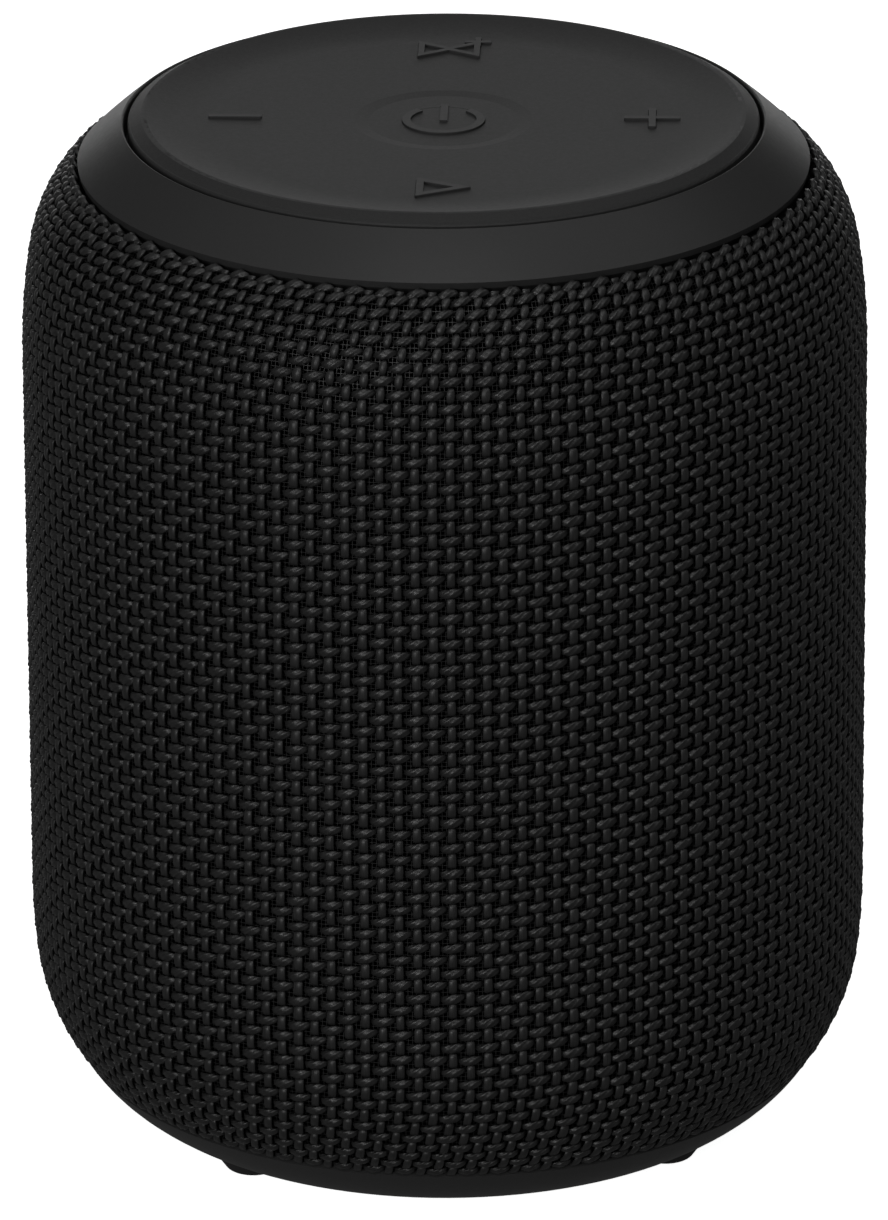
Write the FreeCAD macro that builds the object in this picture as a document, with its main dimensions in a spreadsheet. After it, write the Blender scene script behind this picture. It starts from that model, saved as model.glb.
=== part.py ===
"""Portable speaker: a fabric-covered upright cylinder with a rubber control panel on top.

Millimetres, +Z up.  The origin is the middle of the footprint, on the surface that the feet stand on.
The front is -Y (play key side), the rear is +Y (charging port side).
"""
import FreeCAD, Part
import math
import os
import Sketcher

DOC = FreeCAD.newDocument("speaker")
SHEET = DOC.addObject("Spreadsheet::Sheet", "Sizes")

DIMENSIONS = {
    # outer hull, seen as a section: straight side, then two tangent bends at each end
    "side_radius_top": 48.26, "side_radius_bottom": 48.57,
    "shoulder_start": 91.97, "shoulder_bend": 73.7, "shoulder_turn": 9.33,
    "crown_bend": 18.13,
    "heel_start": 26.11, "heel_bend": 70.76, "heel_turn": 6.17,
    "toe_bend": 22.72, "toe_turn": 36.1,
    "fabric_thickness": 1.3, "fabric_top_turn": 44.6,
    "grille_thickness": 1.6, "grille_top_turn": 38.0, "grille_bottom_turn": 30.0,
    "grille_slots": 24.0, "grille_slot_width": 7.6, "grille_slot_low": 52.0, "grille_slot_high": 100.0,
    # feet and base
    "foot_height": 2.2, "foot_base_radius": 4.6, "foot_sole_radius": 3.1, "foot_rounding": 0.5,
    "foot_rounding_rise": 0.3, "foot_rounding_swell": 0.2, "foot_rounding_bend": 0.75,
    "foot_circle": 33.7, "foot_turn": 48.0,
    "base_inner_radius": 28.6, "base_edge_radius": 38.6, "base_bend": 15.0, "base_rim_radius": 43.75,
    "base_rim_height": 7.32, "base_rim_land": 1.05, "base_rim_rise": 0.76, "base_step_rise": 1.1,
    "base_floor": 5.0, "spigot_radius": 42.2, "spigot_bore": 39.5, "spigot_top": 15.0,
    "cap_radius": 28.3, "cap_bottom": 2.6, "cap_flange_radius": 39.2, "cap_top": 7.0,
    "boss_radius": 2.8, "boss_top": 10.0, "board_post_circle": 24.0, "board_post_top": 9.6,
    "board_post_radius": 2.4, "post_turn": 45.0,
    # lower housing, battery and boards
    "housing_radius": 43.0, "housing_wall": 2.0, "housing_bottom": 15.1, "housing_top": 46.9,
    "housing_window_width": 14.4, "housing_window_length": 25.6,
    "holder_radius": 40.8, "holder_bottom": 15.2, "holder_top": 17.0, "holder_rib": 3.0,
    "holder_rib_setback": 8.0, "holder_rib_length": 36.0, "holder_rib_height": 5.0,
    "cell_radius": 9.15, "cell_length": 65.0, "cell_spacing": 19.0, "cell_height": 26.6,
    "cell_play": 0.1, "cell_nub": 1.0, "cell_nub_radius": 2.8,
    "board_radius": 30.0, "board_thickness": 1.6,
    # rear ports
    "port_height": 34.0, "port_width": 13.0, "port_length": 26.0, "port_clearance": 0.2,
    "port_face": 48.9, "port_bay_width": 10.4, "port_bay_length": 23.4, "port_bay_floor": 46.6,
    "port_flange_back": 43.1, "port_flange_front": 44.3, "port_flange_margin": 2.0,
    "cover_width": 10.0, "cover_corner": 0.7, "cover_corner_rise": 2.1, "cover_back": 46.9,
    "cover_face": 48.8, "cover_bottom": 25.6, "cover_top": 45.5, "cover_lip_drop": 1.6,
    "cover_lip_width": 5.0, "cover_lip_thickness": 1.0, "cover_lip_reach": 0.6,
    "tether_top": 25.3, "tether_bottom": 22.5, "tether_half_width": 3.0, "tether_taper": 1.9,
    "tether_post_radius": 0.9, "tether_post_back": 42.1, "tether_play": 0.03,
    "socket_mouth": 46.4, "port_board_face": 32.4, "port_board_thickness": 1.5,
    "port_board_width": 13.0, "port_board_length": 25.0,
    "usb_height": 38.6, "usb_width": 8.94, "usb_thickness": 3.26, "usb_wall": 0.3, "usb_depth": 6.5,
    "usb_play": 0.3, "usb_tongue_thickness": 0.7, "usb_tongue_width": 6.6, "usb_tongue_setback": 0.8,
    "jack_height": 29.4, "jack_nose_radius": 2.9, "jack_bore_radius": 1.78, "jack_depth": 13.0,
    "jack_body": 7.0, "jack_body_front": 42.0, "jack_play": 0.15,
    # acoustic enclosure
    "enclosure_radius": 42.5, "enclosure_flat": 35.0, "enclosure_wall": 2.5, "enclosure_bottom": 47.0,
    "enclosure_top": 104.0, "lid_thickness": 2.4, "lid_plug": 3.0, "lid_clearance": 0.1,
    "lid_post_circle": 24.0, "lid_post_radius": 2.6, "lid_hole_depth": 3.4,
    "driver_height": 75.5, "driver_hole": 19.8,
    # loudspeaker driver and passive radiator, about their own axis
    "flange_radius": 23.0, "flange_thickness": 2.0, "flange_bore": 18.9, "gasket_thickness": 0.5,
    "gasket_play": 0.2, "basket_shoulder": 0.4, "basket_foot": 0.2, "basket_play": 0.3,
    "basket_throat": 14.0, "basket_depth": 13.2, "basket_wall": 1.3, "magnet_radius": 13.6,
    "magnet_depth": 21.4, "gap_outer": 6.8, "pole_radius": 5.4, "pole_rise": 0.6,
    "plate_thickness": 2.0,
    "cone_radius": 15.6, "cone_neck": 6.4, "cone_depth": 7.5, "cone_paper": 0.5,
    "cone_edge": 1.2, "neck_flare": 0.3, "former_inset": 0.2, "former_wall": 0.4, "coil_bottom": 17.0,
    "dust_cap_rise": 2.0, "dust_cap_lift": 0.86, "dust_cap_reach": 0.9, "dust_cap_seat": 0.45,
    "dust_cap_wall": 0.4,
    "roll_inner": 15.9, "roll_outer": 19.2, "roll_rubber": 0.5, "roll_land": 22.5,
    "roll_toe": 0.2, "roll_slack": 0.05, "roll_hollow_inner": 0.5, "roll_hollow_outer": 0.3,
    "diaphragm_thickness": 2.0, "weight_thickness": 2.6, "weight_radius": 6.0,
    # top bezel
    "bezel_bore": 36.2, "bezel_top": 118.98, "bezel_lip_radius": 41.5, "bezel_lip_height": 114.5,
    "bezel_lip_depth": 1.65, "bezel_lip_tuck": 0.1, "bezel_lip_tuck_drop": 0.72,
    "bezel_mouth_rounding": 0.3, "bezel_cone_bend": 70.0,
    "bezel_shelf": 115.9, "bezel_shelf_bore": 33.2, "bezel_shelf_thickness": 1.3, "bezel_gusset": 1.4,
    "panel_gasket_overhang": 0.2, "panel_gasket_inset": 0.15, "skirt_radius": 40.7,
    "skirt_wall": 2.0, "skirt_bottom": 106.4,
    # control panel: a shallow dish with a crest and an outward bevel
    "panel_radius": 35.75, "panel_edge_height": 119.25, "panel_bottom": 116.2,
    "panel_rounding": 0.3, "panel_rounding_bend": 0.35, "crest_radius": 33.9,
    "crest_height": 120.0, "crest_land": 0.35, "crest_outer_drop": 0.05, "crest_inner_drop": 0.07,
    "crest_bend": 0.9, "dish_bend": 22.5, "dish_radius": 26.4, "dish_height": 119.02,
    "dish_middle": 118.85, "recess_radius": 8.5, "recess_depth": 0.15,
    "recess_slope": 1.6,
    # keys and their switches
    "key_circle": 23.6, "key_flange_radius": 5.4, "key_flange_bottom": 115.35, "key_flange_top": 116.15,
    "key_skin": 118.96, "key_rise": 0.32, "key_clearance": 0.06, "panel_turn": -1.7,
    "minus_length": 5.95, "minus_stroke": 0.88, "plus_length": 6.25,
    "thin_stroke": 0.82, "play_width": 6.05, "play_height": 6.0, "play_back": 2.4,
    "pair_width": 4.4, "pair_height": 5.4, "pair_overlap": 0.85, "pair_stroke": 0.7,
    "badge_length": 3.0, "badge_stroke": 0.66, "badge_right": -0.28, "badge_rise": -0.15,
    "power_radius": 4.68, "power_rise": 0.24, "power_stroke": 0.95, "power_opening": 41.0,
    "power_bar_stroke": 0.88, "power_bar_front": -0.4, "power_bar_back": 5.0,
    "key_board_bottom": 109.4, "switch_width": 6.0, "switch_top": 114.2, "plunger_radius": 1.7,
    "plunger_bottom": 112.9, "plunger_bore_bottom": 112.3, "plunger_clearance": 0.08,
    # screws
    "screw_radius": 0.95, "screw_head_radius": 1.9, "screw_head": 1.2, "screw_head_rounding": 0.54,
    "screw_slot_length": 2.1, "screw_slot_width": 0.45, "screw_slot_depth": 0.6,
    "screw_play": 0.02, "screw_clearance": 0.1, "screw_sink": 0.1, "screw_head_clearance": 0.2,
    "screw_tip_gap": 0.6, "key_screw_length": 4.2,
}
# both rings of screws and posts have this many
POSTS = 4
# how far outside a part its cuts start
OVERCUT = 2.0
# modules on the main board: x, y, width, depth, height
MODULES = {
    "radio_module": (-9.0, 8.0, 12.0, 15.0, 2.4),
    "amplifier_chip": (10.0, -4.0, 9.0, 9.0, 1.2),
}


class Size:
    """A length or angle together with the sheet formula that drives it."""

    def __init__(self, value, formula, bound=True):
        self.value = value
        self.formula = formula
        self.bound = bound

    def _join(self, other, sign, value):
        bound = self.bound or other.bound
        return Size(value, f"({self.formula} {sign} {other.formula})", bound)

    def __add__(self, other):
        other = size(other)
        return self._join(other, "+", self.value + other.value)

    def __sub__(self, other):
        other = size(other)
        return self._join(other, "-", self.value - other.value)

    def __mul__(self, other):
        other = size(other)
        return self._join(other, "*", self.value * other.value)

    def __truediv__(self, other):
        other = size(other)
        return self._join(other, "/", self.value / other.value)

    def __rsub__(self, other):
        return size(other) - self

    def __neg__(self):
        return size(0) - self

    __radd__ = __add__
    __rmul__ = __mul__


def size(number):
    """Turn a plain number into a Size that no sheet cell drives."""
    if isinstance(number, Size):
        return number
    return Size(float(number), f"({float(number)!r})", bound=False)


def cosine(angle):
    angle = size(angle)
    return Size(math.cos(math.radians(angle.value)), f"cos({angle.formula})", angle.bound)


def sine(angle):
    angle = size(angle)
    return Size(math.sin(math.radians(angle.value)), f"sin({angle.formula})", angle.bound)


def fill_sheet():
    for row, (alias, number) in enumerate(DIMENSIONS.items(), start=1):
        SHEET.set(f"A{row}", alias.replace("_", " "))
        SHEET.set(f"B{row}", str(number))
        SHEET.setAlias(f"B{row}", alias)
    DOC.recompute()


def dim(alias):
    return Size(DIMENSIONS[alias], f"Sizes.{alias}")


# ---------------------------------------------------------------- drawing helpers

PARTS = []


def new_body(name):
    body = DOC.addObject("PartDesign::Body", name)
    body.Label = name
    PARTS.append(body)
    return body


def drive(target, prop, number):
    """Set a property, and bind it to the sheet where a cell drives it."""
    number = size(number)
    setattr(target, prop, number.value)
    if number.bound:
        target.setExpression(prop, number.formula)


def sketch_on(body, role, offset=0):
    plane = next(item for item in body.Origin.OriginFeatures if item.Role == role)
    sketch = body.newObject("Sketcher::SketchObject", body.Name + "_sketch")
    sketch.AttachmentSupport = [(plane, "")]
    sketch.MapMode = "FlatFace"
    offset = size(offset)
    sketch.AttachmentOffset = FreeCAD.Placement(FreeCAD.Vector(0, 0, offset.value), FreeCAD.Rotation())
    if offset.bound:
        sketch.setExpression("AttachmentOffset.Base.z", offset.formula)
    return sketch


def constrain(sketch, kind, *args):
    """Add one dimension to a sketch; the last argument is its Size."""
    number = size(args[-1])
    index = sketch.addConstraint(Sketcher.Constraint(kind, *args[:-1], number.value))
    if number.bound:
        sketch.setExpression(f"Constraints[{index}]", number.formula)


def arc_centre(start, end, radius, side):
    """Centre of the short arc from start to end; side is 1 when it lies left of the way along."""
    half = (end - start) * 0.5
    reach = math.sqrt(max(radius ** 2 - half.Length ** 2, 0.0))
    left = FreeCAD.Vector(-half.y, half.x, 0).normalize()
    return start + half + left * (reach * side)


def draw_outline(sketch, points):
    """Draw a closed outline.  A point is (x, y), or (x, y, radius, side) where an arc leads to it."""
    places = [FreeCAD.Vector(size(point[0]).value, size(point[1]).value, 0) for point in points]
    starts = []
    first = sketch.GeometryCount
    for index, point in enumerate(points):
        begin = places[index - 1]
        end = places[index]
        if len(point) == 2:
            sketch.addGeometry(Part.LineSegment(begin, end))
            starts.append((1, 2))
            continue
        radius, side = size(point[2]), point[3]
        centre = arc_centre(begin, end, radius.value, side)
        low, high = (begin, end) if side > 0 else (end, begin)
        low_angle = math.atan2(low.y - centre.y, low.x - centre.x)
        high_angle = math.atan2(high.y - centre.y, high.x - centre.x)
        circle = Part.Circle(centre, FreeCAD.Vector(0, 0, 1), radius.value)
        sketch.addGeometry(Part.ArcOfCircle(circle, low_angle, high_angle))
        starts.append((1, 2) if side > 0 else (2, 1))
    count = len(points)
    for index in range(count):
        follower = (index + 1) % count
        joint = (first + index, starts[index][1], first + follower, starts[follower][0])
        sketch.addConstraint(Sketcher.Constraint("Coincident", *joint))
    for index, point in enumerate(points):
        corner = (first + index, starts[index][1])
        constrain(sketch, "DistanceX", -1, 1, *corner, point[0])
        constrain(sketch, "DistanceY", -1, 1, *corner, point[1])
        if len(point) == 4:
            constrain(sketch, "Radius", first + index, point[2])


def draw_circle(sketch, x, y, radius):
    x, y, radius = size(x), size(y), size(radius)
    centre = FreeCAD.Vector(x.value, y.value, 0)
    index = sketch.addGeometry(Part.Circle(centre, FreeCAD.Vector(0, 0, 1), radius.value))
    constrain(sketch, "DistanceX", -1, 1, index, 3, x)
    constrain(sketch, "DistanceY", -1, 1, index, 3, y)
    constrain(sketch, "Radius", index, radius)


def box_outline(x, y, width, height):
    x, y = size(x), size(y)
    right, left = x + width * 0.5, x - width * 0.5
    top, bottom = y + height * 0.5, y - height * 0.5
    return [(right, top), (left, top), (left, bottom), (right, bottom)]


def stadium_outline(x, y, width, height):
    """An upright slot with half-round ends."""
    x, y = size(x), size(y)
    radius = size(width) * 0.5
    top = y + size(height) * 0.5 - radius
    bottom = y - size(height) * 0.5 + radius
    left, right = x - radius, x + radius
    return [(right, top), (x, top + radius, radius, 1), (left, top, radius, 1), (left, bottom),
            (x, bottom - radius, radius, 1), (right, bottom, radius, 1)]


def revolve(body, points):
    """Turn a section drawn as (radius, height) about the body's own Z axis."""
    sketch = sketch_on(body, "XZ_Plane")
    draw_outline(sketch, points)
    turned = body.newObject("PartDesign::Revolution", body.Name + "_turned")
    turned.Profile = sketch
    turned.ReferenceAxis = (sketch, ["V_Axis"])
    turned.Angle = 360.0
    return turned


def turned_body(name, points):
    body = new_body(name)
    revolve(body, points)
    return body


def pad(body, draw, length, role="XY_Plane", offset=0, backwards=False):
    """Pad what draw(sketch) draws on one of the body's own planes."""
    sketch = sketch_on(body, role, offset)
    draw(sketch)
    feature = body.newObject("PartDesign::Pad", body.Name + "_pad")
    feature.Profile = sketch
    drive(feature, "Length", length)
    feature.Reversed = backwards
    return feature


def pocket(body, draw, length=None, role="XY_Plane", offset=0, backwards=False):
    """Cut what draw(sketch) draws; with no length the cut goes right through."""
    DOC.recompute()
    before = body.Shape.Volume
    sketch = sketch_on(body, role, offset)
    draw(sketch)
    feature = body.newObject("PartDesign::Pocket", body.Name + "_pocket")
    feature.Profile = sketch
    feature.Reversed = backwards
    if length is None:
        feature.Type = "ThroughAll"
    else:
        drive(feature, "Length", length)
    DOC.recompute()
    if not body.Shape.Volume < before:
        raise RuntimeError(body.Name + ": a pocket cuts nothing")
    return feature


def around(body, feature, count):
    """Repeat a feature evenly about the body's Z axis."""
    axis = next(item for item in body.Origin.OriginFeatures if item.Role == "Z_Axis")
    pattern = body.newObject("PartDesign::PolarPattern", body.Name + "_pattern")
    pattern.Originals = [feature]
    pattern.Axis = (axis, [""])
    pattern.Angle = 360.0
    count = size(count)
    pattern.Occurrences = int(count.value)
    if count.bound:
        pattern.setExpression("Occurrences", count.formula)
    body.Tip = pattern
    return pattern


def group(name, shapes):
    """Several separate solids that share one node."""
    feature = DOC.addObject("Part::Feature", name)
    feature.Label = name
    feature.Shape = Part.makeCompound(shapes)
    PARTS.append(feature)
    return feature


def place(item, x=0.0, y=0.0, z=0.0, axis=(0, 0, 1), angle=0.0):
    turn = FreeCAD.Rotation(FreeCAD.Vector(*axis), angle)
    item.Placement = FreeCAD.Placement(FreeCAD.Vector(x, y, z), turn)


def circle_places(radius, count, start):
    """Points evenly spaced on a circle, as Sizes."""
    places = []
    for step in range(count):
        angle = size(start) + 360.0 / count * step
        places.append((size(radius) * cosine(angle), size(radius) * sine(angle)))
    return places


def post_places(circle):
    """The posts' centres on a named circle."""
    return circle_places(dim(circle), POSTS, dim("post_turn"))


def foot_places():
    """Where the feet stand, each with a screw in the base above it."""
    return circle_places(dim("foot_circle"), POSTS, dim("foot_turn"))


# ---------------------------------------------------------------- hull section

def crown_point(inset, turn):
    """A point of the upper bend, so far inside the outer hull and at so steep a turn."""
    first_turn = dim("shoulder_turn")
    bend_gap = dim("shoulder_bend") - dim("crown_bend")
    centre_x = dim("side_radius_top") - dim("shoulder_bend") + bend_gap * cosine(first_turn)
    centre_z = dim("shoulder_start") + bend_gap * sine(first_turn)
    reach = dim("crown_bend") - inset
    return centre_x + reach * cosine(turn), centre_z + reach * sine(turn)


def shoulder_point(inset):
    """Where the long upper bend meets the short one."""
    return crown_point(inset, dim("shoulder_turn"))


def toe_point(inset, turn):
    """A point of the lower bend, so far inside the outer hull and at so steep a turn."""
    first_turn = dim("heel_turn")
    bend_gap = dim("heel_bend") - dim("toe_bend")
    centre_x = dim("side_radius_bottom") - dim("heel_bend") + bend_gap * cosine(first_turn)
    centre_z = dim("heel_start") - bend_gap * sine(first_turn)
    reach = dim("toe_bend") - inset
    return centre_x + reach * cosine(turn), centre_z - reach * sine(turn)


def heel_point(inset):
    """Where the long lower bend meets the short one."""
    return toe_point(inset, dim("heel_turn"))


def hull_outline(outer_inset, inner_inset, top_turn, bottom_turn):
    """Closed section of a shell that follows the hull, from its bottom edge to its top edge."""
    outer, inner = size(outer_inset), size(inner_inset)
    low, high = dim("side_radius_bottom"), dim("side_radius_top")
    return [
        toe_point(outer, bottom_turn),
        (*heel_point(outer), dim("toe_bend") - outer, 1),
        (low - outer, dim("heel_start"), dim("heel_bend") - outer, 1),
        (high - outer, dim("shoulder_start")),
        (*shoulder_point(outer), dim("shoulder_bend") - outer, 1),
        (*crown_point(outer, top_turn), dim("crown_bend") - outer, 1),
        crown_point(inner, top_turn),
        (*shoulder_point(inner), dim("crown_bend") - inner, -1),
        (high - inner, dim("shoulder_start"), dim("shoulder_bend") - inner, -1),
        (low - inner, dim("heel_start")),
        (*heel_point(inner), dim("heel_bend") - inner, -1),
        (*toe_point(inner, bottom_turn), dim("toe_bend") - inner, -1),
    ]


def port_window(margin):
    """Draws the rear port's outline, a margin larger all round, seen along Y."""
    def draw(sketch):
        grown = size(margin) * 2
        width = dim("port_width") + grown
        length = dim("port_length") + grown
        draw_outline(sketch, stadium_outline(0, dim("port_height"), width, length))
    return draw


def make_fabric_sleeve():
    body = turned_body("fabric_sleeve", hull_outline(0, dim("fabric_thickness"),
                                                     dim("fabric_top_turn"), dim("toe_turn")))
    pocket(body, port_window(dim("port_clearance")), role="XZ_Plane")


def make_grille_shell():
    inner = dim("fabric_thickness") + dim("grille_thickness")
    body = turned_body("grille_shell", hull_outline(dim("fabric_thickness"), inner,
                                                    dim("grille_top_turn"), dim("grille_bottom_turn")))
    low, high = dim("grille_slot_low"), dim("grille_slot_high")
    slot = stadium_outline(0, (low + high) * 0.5, dim("grille_slot_width"), high - low)
    cut = pocket(body, lambda sketch: draw_outline(sketch, slot), role="XZ_Plane", backwards=True)
    around(body, cut, dim("grille_slots"))
    pocket(body, port_window(dim("port_clearance")), role="XZ_Plane")


# ---------------------------------------------------------------- top: bezel, panel, keys

def make_top_bezel():
    inner_skirt = dim("skirt_radius") - dim("skirt_wall")
    shelf_bottom = dim("bezel_shelf") - dim("bezel_shelf_thickness")
    lip, lip_z = dim("bezel_lip_radius"), dim("bezel_lip_height")
    rounding = dim("bezel_mouth_rounding")
    turned_body("top_bezel", [
        (dim("bezel_bore"), dim("bezel_shelf")),
        (dim("bezel_shelf_bore"), dim("bezel_shelf")),
        (dim("bezel_shelf_bore"), shelf_bottom),
        (inner_skirt, shelf_bottom - dim("bezel_gusset")),
        (inner_skirt, dim("skirt_bottom")),
        (dim("skirt_radius"), dim("skirt_bottom")),
        (dim("skirt_radius"), lip_z - dim("bezel_lip_depth")),
        (lip - dim("bezel_lip_tuck"), lip_z - dim("bezel_lip_tuck_drop")),
        (lip, lip_z),
        (dim("bezel_bore") + rounding, dim("bezel_top"), dim("bezel_cone_bend"), 1),
        (dim("bezel_bore"), dim("bezel_top") - rounding, rounding, 1),
    ])


def make_panel_gasket():
    inner = dim("bezel_shelf_bore") + dim("panel_gasket_overhang")
    outer = dim("panel_radius") - dim("panel_gasket_inset")
    bottom, top = dim("bezel_shelf"), dim("panel_bottom")
    turned_body("panel_gasket", [(inner, bottom), (outer, bottom), (outer, top), (inner, top)])


def triangle_outline(x, y, width, height, pointing, grow):
    """Triangle with an upright side and its point to the right (1) or left (-1), grown evenly by grow.

    x, y is the middle of its upright side.
    """
    x, y, width, height, grow = size(x), size(y), size(width), size(height), size(grow)
    slope = math.hypot(width.value, height.value * 0.5) / (height.value * 0.5)
    rise = math.hypot(width.value, height.value * 0.5) / width.value
    back = x - grow * pointing
    tip = x + (width + grow * slope) * pointing
    half = height * 0.5 + grow * (rise + height.value * 0.5 / width.value)
    if pointing > 0:
        return [(tip, y), (back, y + half), (back, y - half)]
    return [(tip, y), (back, y - half), (back, y + half)]


def plus_outline(x, y, length, stroke, grow):
    """Outline of a plus sign, twelve corners."""
    x, y = size(x), size(y)
    arm = size(length) * 0.5 + grow
    half = size(stroke) * 0.5 + grow
    return [(x + arm, y + half), (x + half, y + half), (x + half, y + arm), (x - half, y + arm),
            (x - half, y + half), (x - arm, y + half), (x - arm, y - half), (x - half, y - half),
            (x - half, y - arm), (x + half, y - arm), (x + half, y - half), (x + arm, y - half)]


def key_sites():
    """Where each key stands, as (x, y)."""
    reach = dim("key_circle")
    return {
        "power_key": (size(0), size(0)),
        "play_key": (size(0), -reach),
        "pairing_key": (size(0), reach),
        "volume_down_key": (-reach, size(0)),
        "volume_up_key": (reach, size(0)),
    }


def key_outlines(name, grow):
    """The closed outlines of a key's stem; grow opens them for the panel's holes."""
    x, y = key_sites()[name]
    if name == "volume_down_key":
        grown = size(grow) * 2
        return [box_outline(x, y, dim("minus_length") + grown, dim("minus_stroke") + grown)]
    if name == "volume_up_key":
        return [plus_outline(x, y, dim("plus_length"), dim("thin_stroke"), grow)]
    if name == "play_key":
        left = x - dim("play_back")
        return [triangle_outline(left, y, dim("play_width"), dim("play_height"), 1, grow)]
    width, height = dim("pair_width"), dim("pair_height")
    edge = width - dim("pair_overlap")
    badge_x = x + edge + dim("badge_right")
    badge_y = y + height * 0.5 + dim("badge_rise")
    badge = plus_outline(badge_x, badge_y, dim("badge_length"), dim("badge_stroke"), grow)
    return [triangle_outline(x - edge, y, width, height, 1, grow),
            triangle_outline(x + edge, y, width, height, -1, grow), badge]


def stroke_outlines(name):
    """The hollows inside a key's raised triangles."""
    x, y = key_sites()[name]
    if name == "play_key":
        left = x - dim("play_back")
        return [triangle_outline(left, y, dim("play_width"), dim("play_height"), 1, -dim("thin_stroke"))]
    inward = -dim("pair_stroke")
    edge = dim("pair_width") - dim("pair_overlap")
    return [triangle_outline(x - edge, y, dim("pair_width"), dim("pair_height"), 1, inward),
            triangle_outline(x + edge, y, dim("pair_width"), dim("pair_height"), -1, inward)]


def power_bar(grow):
    """The power sign's bar, whose rear end stands out through the ring's opening."""
    half = dim("power_bar_stroke") * 0.5 + grow
    back, front = dim("power_bar_back") + grow, dim("power_bar_front") - grow
    return [(half, back), (-half, back), (-half, front), (half, front)]


def make_control_panel():
    crest_z = dim("crest_height")
    rounding = dim("panel_rounding")
    body = turned_body("control_panel", [
        (0, dim("panel_bottom")),
        (dim("panel_radius"), dim("panel_bottom")),
        (dim("panel_radius"), dim("panel_edge_height") - rounding),
        (dim("panel_radius") - rounding, dim("panel_edge_height"), dim("panel_rounding_bend"), 1),
        (dim("crest_radius") + dim("crest_land"), crest_z - dim("crest_outer_drop")),
        (dim("crest_radius") - dim("crest_land"), crest_z - dim("crest_inner_drop"), dim("crest_bend"), 1),
        (dim("dish_radius"), dim("dish_height"), dim("dish_bend"), -1),
        (dim("recess_radius") + dim("recess_slope"), dim("dish_middle")),
        (dim("recess_radius"), dim("dish_middle") - dim("recess_depth")),
        (0, dim("dish_middle") - dim("recess_depth")),
    ])
    above = dim("crest_height") + OVERCUT
    for name in key_sites():
        if name == "power_key":
            opening = dim("power_radius") + dim("key_clearance")
            pocket(body, lambda sketch: draw_circle(sketch, 0, 0, opening), offset=above)
            bar = power_bar(dim("key_clearance"))
            pocket(body, lambda sketch: draw_outline(sketch, bar), offset=above)
            continue
        for outline in key_outlines(name, dim("key_clearance")):
            pocket(body, lambda sketch: draw_outline(sketch, outline), offset=above)


def key_flange(name):
    """The disc under the panel that the switch pushes up, common to every key."""
    body = new_body(name)
    x, y = key_sites()[name]
    thickness = dim("key_flange_top") - dim("key_flange_bottom")
    pad(body, lambda sketch: draw_circle(sketch, x, y, dim("key_flange_radius")), thickness,
        offset=dim("key_flange_bottom"))
    return body


def raise_from_flange(body, outline, top):
    """Pad one outline from the flange's top up to a height."""
    pad(body, lambda sketch: draw_outline(sketch, outline), top - dim("key_flange_top"),
        offset=dim("key_flange_top"))


def make_bar_keys():
    """Volume keys: their stems are the raised signs themselves."""
    top = dim("key_skin") + dim("key_rise")
    for name in ("volume_down_key", "volume_up_key"):
        body = key_flange(name)
        for outline in key_outlines(name, 0):
            raise_from_flange(body, outline, top)


def make_triangle_keys():
    """Play and pairing keys: triangular stems, hollowed to leave raised outlines."""
    top = dim("key_skin") + dim("key_rise")
    for name in ("play_key", "pairing_key"):
        body = key_flange(name)
        for outline in key_outlines(name, 0):
            raise_from_flange(body, outline, top)
        for hollow in stroke_outlines(name):
            pocket(body, lambda sketch: draw_outline(sketch, hollow), dim("key_rise"), offset=top)


def make_power_key():
    """Power key: a disc level with the panel, with a raised open ring and bar."""
    body = key_flange("power_key")
    skin = dim("dish_middle") - dim("recess_depth")
    radius = dim("power_radius")
    inner = radius - dim("power_stroke")
    pad(body, lambda sketch: draw_circle(sketch, 0, 0, radius), skin - dim("key_flange_top"),
        offset=dim("key_flange_top"))
    opening = dim("power_opening")
    ring = [
        (radius * sine(opening), radius * cosine(opening)),
        (inner * sine(opening), inner * cosine(opening)),
        (inner, 0, inner, -1), (0, -inner, inner, -1), (-inner, 0, inner, -1),
        (-inner * sine(opening), inner * cosine(opening), inner, -1),
        (-radius * sine(opening), radius * cosine(opening)),
        (-radius, 0, radius, 1), (0, -radius, radius, 1), (radius, 0, radius, 1),
    ]
    ring[0] = (*ring[0], radius, 1)
    pad(body, lambda sketch: draw_outline(sketch, ring), dim("power_rise"), offset=skin)
    raise_from_flange(body, power_bar(0), skin + dim("power_rise"))


def make_plungers():
    for name, (x, y) in key_sites().items():
        body = new_body(name.replace("key", "plunger"))
        pad(body, lambda sketch: draw_circle(sketch, x, y, dim("plunger_radius")),
            dim("key_flange_bottom") - dim("plunger_bottom"), offset=dim("plunger_bottom"))


def turn_panel():
    """The panel sits turned a little in the bezel, with its keys and the switches under them."""
    turned = ["control_panel", "key_switches"]
    for key in key_sites():
        turned += [key, key.replace("key", "plunger")]
    for part in PARTS:
        if part.Label in turned:
            place(part, angle=DIMENSIONS["panel_turn"])


def make_key_board():
    body = new_body("key_board")
    thickness = dim("board_thickness")
    pad(body, lambda sketch: draw_circle(sketch, 0, 0, dim("board_radius")), thickness,
        offset=dim("key_board_bottom"))
    x, y = post_places("lid_post_circle")[0]
    hole = dim("screw_radius") + dim("screw_clearance")
    cut = pocket(body, lambda sketch: draw_circle(sketch, x, y, hole),
                 offset=dim("key_board_bottom") + thickness)
    around(body, cut, POSTS)


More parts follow.
